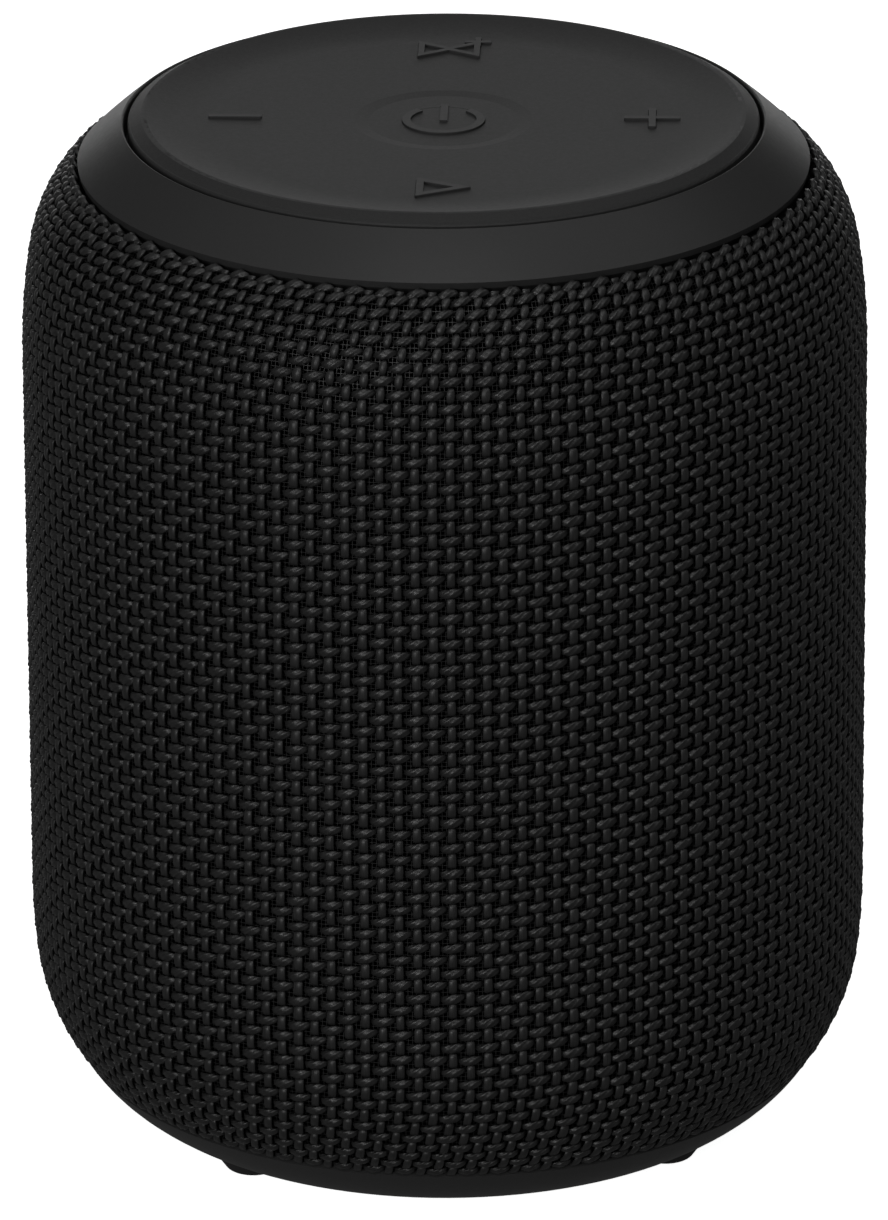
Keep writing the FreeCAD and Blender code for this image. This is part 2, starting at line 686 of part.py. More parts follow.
def make_key_switches():
    """Five tact switch cases, each with a blind hole for its plunger."""
    width = DIMENSIONS["switch_width"]
    floor = DIMENSIONS["key_board_bottom"] + DIMENSIONS["board_thickness"]
    bore_bottom, top = DIMENSIONS["plunger_bore_bottom"], DIMENSIONS["switch_top"]
    bore = DIMENSIONS["plunger_radius"] + DIMENSIONS["plunger_clearance"]
    cases = []
    for x, y in key_sites().values():
        corner = FreeCAD.Vector(x.value - width / 2, y.value - width / 2, floor)
        case = Part.makeBox(width, width, top - floor, corner)
        middle = FreeCAD.Vector(x.value, y.value, bore_bottom)
        well = Part.makeCylinder(bore, top - bore_bottom + OVERCUT, middle)
        cases.append(case.cut(well))
    group("key_switches", cases)


def screw_shape(length):
    """A pan-head screw standing head up, its head's underside at zero."""
    head_radius, head = DIMENSIONS["screw_head_radius"], DIMENSIONS["screw_head"]
    shank = Part.makeCylinder(DIMENSIONS["screw_radius"], length, FreeCAD.Vector(0, 0, -length))
    cap = Part.makeCylinder(head_radius, head)
    cap = cap.makeFillet(DIMENSIONS["screw_head_rounding"], [cap.Edges[0]])
    slot_length, slot_width = DIMENSIONS["screw_slot_length"], DIMENSIONS["screw_slot_width"]
    corner = FreeCAD.Vector(-slot_length / 2, -slot_width / 2, head - DIMENSIONS["screw_slot_depth"])
    slot = Part.makeBox(slot_length, slot_width, head, corner)
    cross = slot.copy()
    cross.rotate(FreeCAD.Vector(0, 0, 0), FreeCAD.Vector(0, 0, 1), 90)
    return cap.fuse(shank).cut(slot.fuse(cross)).removeSplitter()


def screws_at(name, places, height, length, head_down=False):
    shapes = []
    for x, y in places:
        screw = screw_shape(length)
        if head_down:
            screw.rotate(FreeCAD.Vector(0, 0, 0), FreeCAD.Vector(1, 0, 0), 180)
        screw.translate(FreeCAD.Vector(x.value, y.value, height))
        shapes.append(screw)
    group(name, shapes)


def make_key_board_screws():
    top = DIMENSIONS["key_board_bottom"] + DIMENSIONS["board_thickness"]
    screws_at("key_board_screws", post_places("lid_post_circle"), top, DIMENSIONS["key_screw_length"])


# ---------------------------------------------------------------- acoustic enclosure

def squircle_outline(inset):
    """A circle with four flats, the enclosure's plan, so far inside its outer face."""
    radius = dim("enclosure_radius") - inset
    flat = dim("enclosure_flat") - inset
    reach = math.sqrt(radius.value ** 2 - flat.value ** 2)
    corners = []
    for turn in range(4):
        angle = 90 * turn
        for side in (-1, 1):
            x = flat * math.cos(math.radians(angle)) - reach * side * math.sin(math.radians(angle))
            y = flat * math.sin(math.radians(angle)) + reach * side * math.cos(math.radians(angle))
            corners.append((x, y))
    return [(*corner, radius, 1) if index % 2 == 0 else corner for index, corner in enumerate(corners)]


def make_enclosure_body():
    body = new_body("enclosure_body")
    bottom, top = dim("enclosure_bottom"), dim("enclosure_top")
    wall = dim("enclosure_wall")
    pad(body, lambda sketch: draw_outline(sketch, squircle_outline(size(0))), top - bottom, offset=bottom)
    pocket(body, lambda sketch: draw_outline(sketch, squircle_outline(wall)), top - bottom - wall, offset=top)
    for role in ("XZ_Plane", "YZ_Plane"):
        for backwards in (False, True):
            pocket(body, lambda sketch: draw_circle(sketch, 0, dim("driver_height"), dim("driver_hole")),
                   role=role, backwards=backwards)


def make_enclosure_lid():
    body = new_body("enclosure_lid")
    bottom = dim("enclosure_top")
    pad(body, lambda sketch: draw_outline(sketch, squircle_outline(size(0))), dim("lid_thickness"),
        offset=bottom)
    inset = dim("enclosure_wall") + dim("lid_clearance")
    pad(body, lambda sketch: draw_outline(sketch, squircle_outline(inset)), dim("lid_plug"),
        offset=bottom, backwards=True)
    lid_top = bottom + dim("lid_thickness")
    x, y = post_places("lid_post_circle")[0]
    post = pad(body, lambda sketch: draw_circle(sketch, x, y, dim("lid_post_radius")),
               dim("key_board_bottom") - lid_top, offset=lid_top)
    around(body, post, POSTS)
    hole = dim("screw_radius") + dim("screw_play")
    cut = pocket(body, lambda sketch: draw_circle(sketch, x, y, hole), dim("lid_hole_depth"),
                 offset=dim("key_board_bottom"))
    around(body, cut, POSTS)


# ---------------------------------------------------------------- drivers and radiators, on their own axis

def roll_outline():
    """Half-roll rubber surround with its mounting land."""
    inner, outer, rubber = dim("roll_inner"), dim("roll_outer"), dim("roll_rubber")
    land, hollow = dim("roll_land"), dim("roll_hollow_outer")
    span = (outer - inner) * 0.5
    return [(land, 0), (land, rubber), (outer, rubber),
            (inner + dim("roll_toe"), rubber, span + dim("roll_slack"), 1),
            (inner, rubber), (inner, 0), (inner + dim("roll_hollow_inner"), 0),
            (outer - hollow, 0, span - hollow, -1)]


def make_basket(side):
    face, depth, wall = dim("flange_thickness"), dim("basket_depth"), dim("basket_wall")
    throat = dim("basket_throat")
    return turned_body("driver_basket_" + side, [
        (dim("flange_radius"), -face), (dim("flange_radius"), 0), (dim("flange_bore"), 0),
        (dim("flange_bore"), dim("basket_shoulder") - face), (throat - wall, wall - depth),
        (dim("gap_outer"), wall - depth), (dim("gap_outer"), -depth), (throat, -depth),
        (throat, dim("basket_foot") + wall - depth), (dim("driver_hole") - dim("basket_play"), -face),
    ])


def make_magnet(side):
    depth, top = dim("magnet_depth"), -dim("basket_depth")
    floor, pole_top = dim("plate_thickness") - depth, top + dim("pole_rise")
    return turned_body("driver_magnet_" + side, [
        (0, -depth), (dim("magnet_radius"), -depth), (dim("magnet_radius"), top), (dim("gap_outer"), top),
        (dim("gap_outer"), floor), (dim("pole_radius"), floor), (dim("pole_radius"), pole_top), (0, pole_top),
    ])


def make_cone(side):
    neck, paper, deep = dim("cone_neck"), dim("cone_paper"), dim("cone_depth")
    former = neck - dim("former_inset")
    bore, bottom = former - dim("former_wall"), -dim("coil_bottom")
    return turned_body("driver_cone_" + side, [
        (dim("cone_radius"), 0), (dim("cone_radius") - dim("cone_edge"), 0), (neck, paper - deep),
        (bore, paper - deep), (bore, bottom), (former, bottom), (former, -deep),
        (neck + dim("neck_flare"), -deep), (dim("cone_radius"), -paper),
    ])


def dome_radius(edge, rise):
    """Radius of a dome so wide at its edge and so high, with its centre on the axis."""
    return (edge * edge + rise * rise) / (rise * 2)


def make_dust_cap(side):
    seat = dim("cone_paper") + dim("dust_cap_lift") - dim("cone_depth")
    outer = dim("cone_neck") + dim("dust_cap_reach")
    inner = outer - dim("dust_cap_seat")
    outer_rise = dim("dust_cap_rise")
    inner_rise = outer_rise - dim("dust_cap_wall")
    return turned_body("dust_cap_" + side, [
        (outer, seat), (0, seat + outer_rise, dome_radius(outer, outer_rise), 1),
        (0, seat + inner_rise), (inner, seat, dome_radius(inner, inner_rise), -1),
    ])


def make_driver_gasket(side):
    top = -dim("flange_thickness")
    bottom = top - dim("gasket_thickness")
    outer, inner = dim("flange_radius"), dim("driver_hole") + dim("gasket_play")
    return turned_body("driver_gasket_" + side,
                       [(outer, bottom), (outer, top), (inner, top), (inner, bottom)])


def make_radiator_frame(side):
    outer, inner, bottom = dim("flange_radius"), dim("flange_bore"), -dim("flange_thickness")
    return turned_body("radiator_frame_" + side, [(outer, bottom), (outer, 0), (inner, 0), (inner, bottom)])


def make_diaphragm(side):
    """Flat passive radiator plate with its tuning weight behind it."""
    back, weight = -dim("diaphragm_thickness"), dim("weight_radius")
    weight_back = back - dim("weight_thickness")
    return turned_body("radiator_diaphragm_" + side, [
        (0, 0), (0, weight_back), (weight, weight_back), (weight, back), (dim("cone_radius"), back),
        (dim("cone_radius"), 0),
    ])


def make_acoustic_parts():
    height = DIMENSIONS["driver_height"]
    flat = DIMENSIONS["enclosure_flat"] + DIMENSIONS["flange_thickness"]
    driver_face = flat + DIMENSIONS["gasket_thickness"]
    for side, sign in (("front", -1), ("rear", 1)):
        pieces = [make_basket(side), make_magnet(side), make_cone(side), make_dust_cap(side),
                  make_driver_gasket(side), turned_body("driver_surround_" + side, roll_outline())]
        for piece in pieces:
            place(piece, y=driver_face * sign, z=height, axis=(1, 0, 0), angle=-90 * sign)
    for side, sign in (("left", -1), ("right", 1)):
        pieces = [make_radiator_frame(side), make_diaphragm(side),
                  turned_body("radiator_surround_" + side, roll_outline())]
        for piece in pieces:
            place(piece, x=flat * sign, z=height, axis=(0, 1, 0), angle=90 * sign)


# ---------------------------------------------------------------- lower housing, battery and boards

def make_lower_housing():
    outer = dim("housing_radius")
    inner = outer - dim("housing_wall")
    body = turned_body("lower_housing", [
        (inner, dim("housing_bottom")), (outer, dim("housing_bottom")),
        (outer, dim("housing_top")), (inner, dim("housing_top")),
    ])
    window = box_outline(0, dim("port_height"), dim("housing_window_width"), dim("housing_window_length"))
    pocket(body, lambda sketch: draw_outline(sketch, window), role="XZ_Plane")


def make_battery():
    body = new_body("battery_holder")
    floor, top = dim("holder_bottom"), dim("holder_top")
    pad(body, lambda sketch: draw_circle(sketch, 0, 0, dim("holder_radius")), top - floor, offset=floor)
    half = dim("cell_length") * 0.5 - dim("holder_rib_setback")
    for x in (half, -half):
        rib = box_outline(x, 0, dim("holder_rib"), dim("holder_rib_length"))
        pad(body, lambda sketch: draw_outline(sketch, rib), dim("holder_rib_height"), offset=top)
    trough = dim("cell_radius") + dim("cell_play")
    for side in (-0.5, 0.5):
        y = dim("cell_spacing") * side
        for backwards in (False, True):
            pocket(body, lambda sketch: draw_circle(sketch, y, dim("cell_height"), trough),
                   role="YZ_Plane", backwards=backwards)
    for name, side in (("battery_cell_front", -0.5), ("battery_cell_rear", 0.5)):
        cell = new_body(name)
        y, length = dim("cell_spacing") * side, dim("cell_length")
        for radius, reach in ((dim("cell_radius"), length - dim("cell_nub")),
                              (dim("cell_nub_radius"), length)):
            pad(cell, lambda sketch: draw_circle(sketch, y, dim("cell_height"), radius), reach,
                role="YZ_Plane", offset=length * -0.5)


def make_boards():
    board = new_body("main_board")
    bottom = dim("board_post_top")
    top = bottom + dim("board_thickness")
    pad(board, lambda sketch: draw_circle(sketch, 0, 0, dim("board_radius")), dim("board_thickness"),
        offset=bottom)
    for name, (x, y, width, depth, height) in MODULES.items():
        chip = new_body(name)
        pad(chip, lambda sketch: draw_outline(sketch, box_outline(x, y, size(width), size(depth))),
            size(height), offset=top)
    port = new_body("port_board")
    front = dim("port_board_face")
    outline = box_outline(0, dim("port_height"), dim("port_board_width"), dim("port_board_length"))
    pad(port, lambda sketch: draw_outline(sketch, outline), dim("port_board_thickness"),
        role="XZ_Plane", offset=-front)


# ---------------------------------------------------------------- rear ports

def make_port_frame():
    body = new_body("port_frame")
    margin = dim("port_flange_margin") * 2
    flange = box_outline(0, dim("port_height"), dim("port_width") + margin, dim("port_length") + margin)
    back, step = dim("port_flange_back"), dim("port_flange_front")
    pad(body, lambda sketch: draw_outline(sketch, flange), step - back, role="XZ_Plane", offset=-step)
    pad(body, port_window(0), dim("port_face") - step, role="XZ_Plane", offset=-dim("port_face"))
    bay = stadium_outline(0, dim("port_height"), dim("port_bay_width"), dim("port_bay_length"))
    depth = dim("port_face") - dim("port_bay_floor")
    pocket(body, lambda sketch: draw_outline(sketch, bay), depth, role="XZ_Plane",
           offset=-dim("port_face"), backwards=True)
    play = dim("usb_play")
    usb = stadium_outline(0, dim("usb_height"), dim("usb_thickness") + play, dim("usb_width") + play)
    pocket(body, lambda sketch: draw_outline(sketch, usb), role="XZ_Plane")
    tether = (dim("tether_top") + dim("tether_bottom")) * 0.5
    for height, hole in ((dim("jack_height"), dim("jack_nose_radius") + dim("jack_play")),
                         (tether, dim("tether_post_radius") + dim("tether_play"))):
        pocket(body, lambda sketch: draw_circle(sketch, 0, height, hole), role="XZ_Plane")


def make_port_cover():
    """Rubber flap over the sockets, with a finger lip at its top."""
    body = new_body("port_cover")
    radius = dim("cover_width") * 0.5
    top, bottom = dim("cover_top"), dim("cover_bottom")
    foot, corner = radius - dim("cover_corner"), bottom + dim("cover_corner_rise")
    flap = [(radius, top - radius), (0, top, radius, 1), (-radius, top - radius, radius, 1),
            (-radius, corner), (-foot, bottom), (foot, bottom), (radius, corner)]
    face = dim("cover_face")
    pad(body, lambda sketch: draw_outline(sketch, flap), face - dim("cover_back"),
        role="XZ_Plane", offset=-face)
    reach = dim("cover_lip_reach")
    lip = box_outline(0, top - dim("cover_lip_drop"), dim("cover_lip_width"), dim("cover_lip_thickness"))
    pad(body, lambda sketch: draw_outline(sketch, lip), reach, role="XZ_Plane", offset=-(face + reach))


def make_port_tether():
    """The flap's fixed root: a tongue in the bay's lower end with a post through the frame."""
    body = new_body("port_tether")
    half = dim("tether_half_width")
    foot = half - dim("tether_taper")
    top, bottom = dim("tether_top"), dim("tether_bottom")
    tongue = [(half, top), (-half, top), (-foot, bottom), (foot, bottom)]
    face = dim("cover_face")
    pad(body, lambda sketch: draw_outline(sketch, tongue), face - dim("port_bay_floor"),
        role="XZ_Plane", offset=-face)
    middle = (top + bottom) * 0.5
    pad(body, lambda sketch: draw_circle(sketch, 0, middle, dim("tether_post_radius")),
        dim("port_bay_floor") - dim("tether_post_back"), role="XZ_Plane", offset=-dim("port_bay_floor"))


def make_sockets():
    mouth, board = dim("socket_mouth"), dim("port_board_face")
    usb = new_body("usb_c_socket")
    shell = stadium_outline(0, dim("usb_height"), dim("usb_thickness"), dim("usb_width"))
    pad(usb, lambda sketch: draw_outline(sketch, shell), mouth - board, role="XZ_Plane", offset=-mouth)
    wall = dim("usb_wall") * 2
    inside = stadium_outline(0, dim("usb_height"), dim("usb_thickness") - wall, dim("usb_width") - wall)
    pocket(usb, lambda sketch: draw_outline(sketch, inside), dim("usb_depth"), role="XZ_Plane", offset=-mouth,
           backwards=True)
    tongue = box_outline(0, dim("usb_height"), dim("usb_tongue_thickness"), dim("usb_tongue_width"))
    pad(usb, lambda sketch: draw_outline(sketch, tongue), dim("usb_depth") - dim("usb_tongue_setback"),
        role="XZ_Plane", offset=dim("usb_depth") - mouth, backwards=True)
    jack = new_body("audio_jack")
    side = dim("jack_body")
    block = box_outline(0, dim("jack_height"), side, side)
    front = dim("jack_body_front")
    pad(jack, lambda sketch: draw_outline(sketch, block), front - board, role="XZ_Plane", offset=-front)
    pad(jack, lambda sketch: draw_circle(sketch, 0, dim("jack_height"), dim("jack_nose_radius")),
        mouth - front, role="XZ_Plane", offset=-mouth)
    pocket(jack, lambda sketch: draw_circle(sketch, 0, dim("jack_height"), dim("jack_bore_radius")),
           dim("jack_depth"), role="XZ_Plane", offset=-mouth, backwards=True)


# ---------------------------------------------------------------- base and feet

def make_base_ring():
    edge_z = dim("base_rim_height")
    body = turned_body("base_ring", [
        (dim("base_inner_radius"), dim("foot_height")),
        (dim("base_edge_radius"), dim("foot_height")),
        (dim("base_rim_radius"), edge_z, dim("base_bend"), 1),
        (dim("base_rim_radius") - dim("base_rim_land"), edge_z + dim("base_rim_rise")),
        (dim("spigot_radius"), edge_z + dim("base_step_rise")),
        (dim("spigot_radius"), dim("spigot_top")), (dim("spigot_bore"), dim("spigot_top")),
        (dim("spigot_bore"), dim("base_floor")), (dim("base_inner_radius"), dim("base_floor")),
    ])
    x, y = foot_places()[0]
    hole = dim("screw_radius") + dim("screw_clearance")
    cut = pocket(body, lambda sketch: draw_circle(sketch, x, y, hole), offset=dim("base_floor") + OVERCUT)
    around(body, cut, POSTS)
    well = dim("screw_head_radius") + dim("screw_head_clearance")
    cut = pocket(body, lambda sketch: draw_circle(sketch, x, y, well), dim("screw_head") + dim("screw_sink"),
                 offset=dim("foot_height"), backwards=True)
    around(body, cut, POSTS)


def make_base_cap():
    body = turned_body("base_cap", [
        (0, dim("cap_bottom")), (dim("cap_radius"), dim("cap_bottom")),
        (dim("cap_radius"), dim("base_floor")), (dim("cap_flange_radius"), dim("base_floor")),
        (dim("cap_flange_radius"), dim("cap_top")), (0, dim("cap_top")),
    ])
    x, y = foot_places()[0]
    boss = pad(body, lambda sketch: draw_circle(sketch, x, y, dim("boss_radius")),
               dim("boss_top") - dim("cap_top"), offset=dim("cap_top"))
    around(body, boss, POSTS)
    hole = dim("screw_radius") + dim("screw_play")
    cut = pocket(body, lambda sketch: draw_circle(sketch, x, y, hole), dim("boss_top") - dim("base_floor"),
                 offset=dim("base_floor"), backwards=True)
    around(body, cut, POSTS)
    post_x, post_y = post_places("board_post_circle")[0]
    post = pad(body, lambda sketch: draw_circle(sketch, post_x, post_y, dim("board_post_radius")),
               dim("board_post_top") - dim("cap_top"), offset=dim("cap_top"))
    around(body, post, POSTS)


def make_base_screws():
    seat = DIMENSIONS["foot_height"] + DIMENSIONS["screw_head"] + DIMENSIONS["screw_sink"]
    length = DIMENSIONS["boss_top"] - seat - DIMENSIONS["screw_tip_gap"]
    screws_at("base_screws", foot_places(), seat, length, head_down=True)


def make_feet():
    sole, base, height = dim("foot_sole_radius"), dim("foot_base_radius"), dim("foot_height")
    rounding = dim("foot_rounding")
    swollen = (sole + dim("foot_rounding_swell"), dim("foot_rounding_rise"), dim("foot_rounding_bend"), 1)
    for name, (x, y) in zip(("rear_right", "rear_left", "front_left", "front_right"), foot_places()):
        foot = turned_body("foot_" + name,
                           [(0, 0), (sole - rounding, 0), swollen, (base, height), (0, height)])
        place(foot, x=x.value, y=y.value)


# ---------------------------------------------------------------- build, test and write

def check_and_write():
    DOC.recompute()
    for item in DOC.Objects:
        if "Invalid" in item.State or "Error" in item.State:
            raise RuntimeError("failed object: " + item.Name)
    os.makedirs("parts", exist_ok=True)
    for item in PARTS:
        shape = item.Shape
        if shape.isNull() or not shape.isValid() or not shape.Solids:
            raise RuntimeError("bad shape: " + item.Label)
        shape.exportStep(os.path.join("parts", item.Label + ".step"))
        print(f"{item.Label}: {len(shape.Solids)} solid, {shape.Volume:.1f} mm3")
    print(len(PARTS), "nodes")


fill_sheet()
make_fabric_sleeve()
make_grille_shell()
make_top_bezel()
make_panel_gasket()
make_control_panel()
make_bar_keys()
make_triangle_keys()
make_power_key()
make_plungers()
make_key_board()
make_key_switches()
turn_panel()
make_key_board_screws()
make_enclosure_body()
make_enclosure_lid()
make_acoustic_parts()
make_lower_housing()
make_battery()
make_boards()
make_port_frame()
make_port_cover()
make_port_tether()
make_sockets()
make_base_ring()
make_base_cap()
make_base_screws()
make_feet()
check_and_write()
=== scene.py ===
"""Looks of a fabric-covered portable speaker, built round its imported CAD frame.

Metres, +Z up, the front at -Y and the rear ports at +Y.
"""
import bpy
import math
import numpy as np
from mathutils import Matrix, Vector


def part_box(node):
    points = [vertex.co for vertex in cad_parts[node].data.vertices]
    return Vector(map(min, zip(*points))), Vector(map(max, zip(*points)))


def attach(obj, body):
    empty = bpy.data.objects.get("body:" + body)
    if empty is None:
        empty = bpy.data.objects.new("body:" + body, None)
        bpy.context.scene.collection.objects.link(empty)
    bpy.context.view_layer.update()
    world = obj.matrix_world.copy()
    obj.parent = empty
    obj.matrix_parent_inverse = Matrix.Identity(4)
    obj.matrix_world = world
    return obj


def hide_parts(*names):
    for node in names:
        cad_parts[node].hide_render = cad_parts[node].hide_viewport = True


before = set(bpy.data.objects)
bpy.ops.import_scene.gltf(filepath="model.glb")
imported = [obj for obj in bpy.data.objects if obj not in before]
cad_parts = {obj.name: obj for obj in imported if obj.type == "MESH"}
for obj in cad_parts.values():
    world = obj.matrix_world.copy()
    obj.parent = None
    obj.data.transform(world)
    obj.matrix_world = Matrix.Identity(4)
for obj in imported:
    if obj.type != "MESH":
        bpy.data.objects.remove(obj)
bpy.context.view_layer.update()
MM = 0.001

# ---------------------------------------------------------------- hull of the cloth

# its section: a straight side with two tangent bends at each end, (radius, height) in millimetres
SIDE_TOP = (48.26, 91.97)
SIDE_BOTTOM = (48.57, 26.11)
TOP_BENDS = ((73.7, 0.0, 9.33), (18.13, 9.33, 44.6))
BOTTOM_BENDS = ((70.76, 0.0, 6.17), (22.72, 6.17, 36.1))
CLOTH_THICKNESS = 1.3


class Hull:
    """The cloth's outer face, measured by arc length up its section in millimetres."""

    def __init__(self):
        low, low_turn = self.bends(SIDE_BOTTOM, BOTTOM_BENDS, -1)
        high, high_turn = self.bends(SIDE_TOP, TOP_BENDS, 1)
        self.points = np.concatenate([low[::-1], high])
        self.turns = np.concatenate([low_turn[::-1], high_turn])
        steps = np.linalg.norm(np.diff(self.points, axis=0), axis=1)
        self.arcs = np.concatenate([[0.0], np.cumsum(steps)])
        self.length = self.arcs[-1]

    @staticmethod
    def bends(start, bends, up):
        """Points and turns of the bends above (up 1) or below (up -1) the straight side."""
        points, turns = [np.array([start])], [np.zeros(1)]
        for radius, first, last in bends:
            angles = np.radians(np.linspace(first, last, 80))
            rays = np.stack([np.cos(angles), up * np.sin(angles)], axis=1)
            centre = points[-1][-1] - radius * rays[0]
            points.append(centre + radius * rays[1:])
            turns.append(up * angles[1:])
        return np.concatenate(points), np.concatenate(turns)

    def at(self, arc, inset):
        """Radius, height and turn of the face an inset inside the hull."""
        turn = np.interp(arc, self.arcs, self.turns)
        radius = np.interp(arc, self.arcs, self.points[:, 0]) - inset * np.cos(turn)
        height = np.interp(arc, self.arcs, self.points[:, 1]) - inset * np.sin(turn)
        return radius, height, turn

    def inset_of(self, radius, height):
        """How far inside the hull each point (radius, height) lies."""
        gaps = np.hypot(radius[:, None] - self.points[None, :, 0], height[:, None] - self.points[None, :, 1])
        nearest = gaps.argmin(axis=1)
        turn = self.turns[nearest]
        offset = np.stack([radius, height], axis=1) - self.points[nearest]
        return -(offset[:, 0] * np.cos(turn) + offset[:, 1] * np.sin(turn)), turn


HULL = Hull()

# ---------------------------------------------------------------- weave

WARP_COUNT = 154
FIRST_WARP = math.radians(-89.36)
FIRST_ROW_ARC = 60.2
ROW_PITCH, TOP_ROW_PITCH = 1.53, 1.5
TIGHTENING_START, TIGHTENING_SPAN = 92.0, 14.0
EDGE_MARGIN = 0.1
TUCKED_GAP, TUCKED_MARGIN = 0.7, 0.05
# depths are insets from the hull; a float is a length of yarn that shows, its reach counted in crossings
UNDER_DEPTH = 1.0
TOP_LIFT, TOP_LIFT_START, TOP_LIFT_SPAN = 0.18, 96.0, 10.0
TOP_TAPER, TOP_TAPER_START, TOP_TAPER_SPAN = 0.42, 90.0, 14.0
WARP = {"over": 0.22, "bow": 0.1, "half_width": 0.5, "taper": 0.04, "half_thickness": 0.17,
        "reach": 0.46, "dive": 0.64}
WEFT = {"over": 0.27, "bow": 0.16, "half_width": 0.6, "taper": 0.3, "half_thickness": 0.32,
        "reach": 0.54, "dive": 0.76}
HIDDEN_PINCH = 0.5
WARP_SQUARENESS = 0.55
WEFT_SLANT, TOP_WEFT_SLANT = 0.15, 0.32
TOP_SLANT_START, TOP_SLANT_SPAN = 100.0, 8.0
WARP_SAMPLES = np.array([-0.64, -0.55, -0.46, -0.28, -0.09, 0.09, 0.28, 0.46, 0.55, 0.64, 1.0])
WEFT_SAMPLES = np.array([-0.76, -0.65, -0.54, -0.33, -0.11, 0.11, 0.33, 0.54, 0.65, 0.76, 1.0])
WARP_SIDES = 8
WEFT_SIDES, WEFT_PLIES, PLY_RELIEF, PLY_START = 16, 4, 0.24, 0.35
# unevenness of the yarns: sideways (mm), in width (a share) and in twist (radians)
WARP_WANDER, WARP_WANDER_RATE = 0.03, (0.1, 0.3)
WARP_SWELL, WARP_RIPPLE, WARP_RIPPLE_RATE = 0.04, 0.03, (0.8, 1.4)
WEFT_WANDER, WEFT_SWELL, WEFT_TWIST_SPREAD = 0.03, 0.05, 0.15
RANDOM_SEED = 7
LEAN_TOP_START, LEAN_BOTTOM_END, LEAN_GROWTH = 94.0, 16.0, 0.0105
WARP_PIECES, WEFT_PIECES = 6, 11

# the cloth's rear window, an upright slot with round ends
WINDOW_HEIGHT = 34.0
WINDOW_RADIUS, WINDOW_HALF_STRAIGHT = 6.7, 6.5
BINDING_RADIUS = 0.45
BINDING_DEPTH = 0.5
BINDING_OFFSET = 0.5
YARN_CUT = 0.55


def smooth_step(x):
    x = np.clip(x, 0.0, 1.0)
    return x * x * (3 - 2 * x)


def row_arcs():
    """Arc length of each weft row, from the bottom edge up; the last one is tucked under the bezel's lip."""
    arcs = list(np.arange(FIRST_ROW_ARC, EDGE_MARGIN, -ROW_PITCH))[::-1]
    top = HULL.length - EDGE_MARGIN
    while True:
        crowding = smooth_step((arcs[-1] - TIGHTENING_START) / TIGHTENING_SPAN)
        arc = arcs[-1] + ROW_PITCH + (TOP_ROW_PITCH - ROW_PITCH) * crowding
        if arc > top:
            if top - arcs[-1] > TUCKED_GAP:
                arcs.append(HULL.length - TUCKED_MARGIN)
            return np.array(arcs)
        arcs.append(arc)


ROWS = row_arcs()
PARITY = int(np.abs(ROWS - FIRST_ROW_ARC).argmin()) % 2


def row_number(arc):
    """Row number at an arc length, as a fraction, continued past both edges."""
    numbers = np.arange(len(ROWS))
    below = (arc - ROWS[0]) / (ROWS[1] - ROWS[0])
    above = numbers[-1] + (arc - ROWS[-1]) / (ROWS[-1] - ROWS[-2])
    inside = np.interp(arc, ROWS, numbers)
    return np.where(arc < ROWS[0], below, np.where(arc > ROWS[-1], above, inside))


def lean(arc):
    """How far the warp has turned round the body, from the sleeve's twist at its two ends, in radians."""
    top = np.maximum(arc - LEAN_TOP_START, 0.0) ** 2
    bottom = np.maximum(LEAN_BOTTOM_END - arc, 0.0) ** 2
    return np.radians(LEAN_GROWTH * (top - bottom))


def place_in_float(number):
    """Distance from the nearest float's middle, in crossings from -1 to 1, for floats at the even numbers."""
    return (number + 1) % 2 - 1


def yarn_shape(place, arc, kind):
    """Inset, half width and half thickness of a yarn at each place in its floats.

    The rows near the bezel stand prouder, and their floats are more leaf-shaped.
    """
    across = np.minimum(np.abs(place) / kind["reach"], 1.0) ** 2
    dive = smooth_step((np.abs(place) - kind["reach"]) / (kind["dive"] - kind["reach"]))
    lift = TOP_LIFT * smooth_step((arc - TOP_LIFT_START) / TOP_LIFT_SPAN)
    crest = kind["over"] + kind["bow"] * across - lift
    inset = crest + (UNDER_DEPTH - crest) * dive
    leaf = smooth_step((arc - TOP_TAPER_START) / TOP_TAPER_SPAN)
    taper = kind["taper"] + (TOP_TAPER - kind["taper"]) * leaf
    slimming = (1 - taper * across) * (1 - HIDDEN_PINCH * dive)
    return inset, kind["half_width"] * slimming, kind["half_thickness"] * slimming


def outside_window(points, margin):
    """Which points (millimetres) keep a margin from the rear window."""
    over = np.maximum(np.abs(points[:, 2] - WINDOW_HEIGHT) - WINDOW_HALF_STRAIGHT, 0.0)
    gap = np.hypot(points[:, 0], over) - WINDOW_RADIUS
    return (gap > margin) | (points[:, 1] < 0)


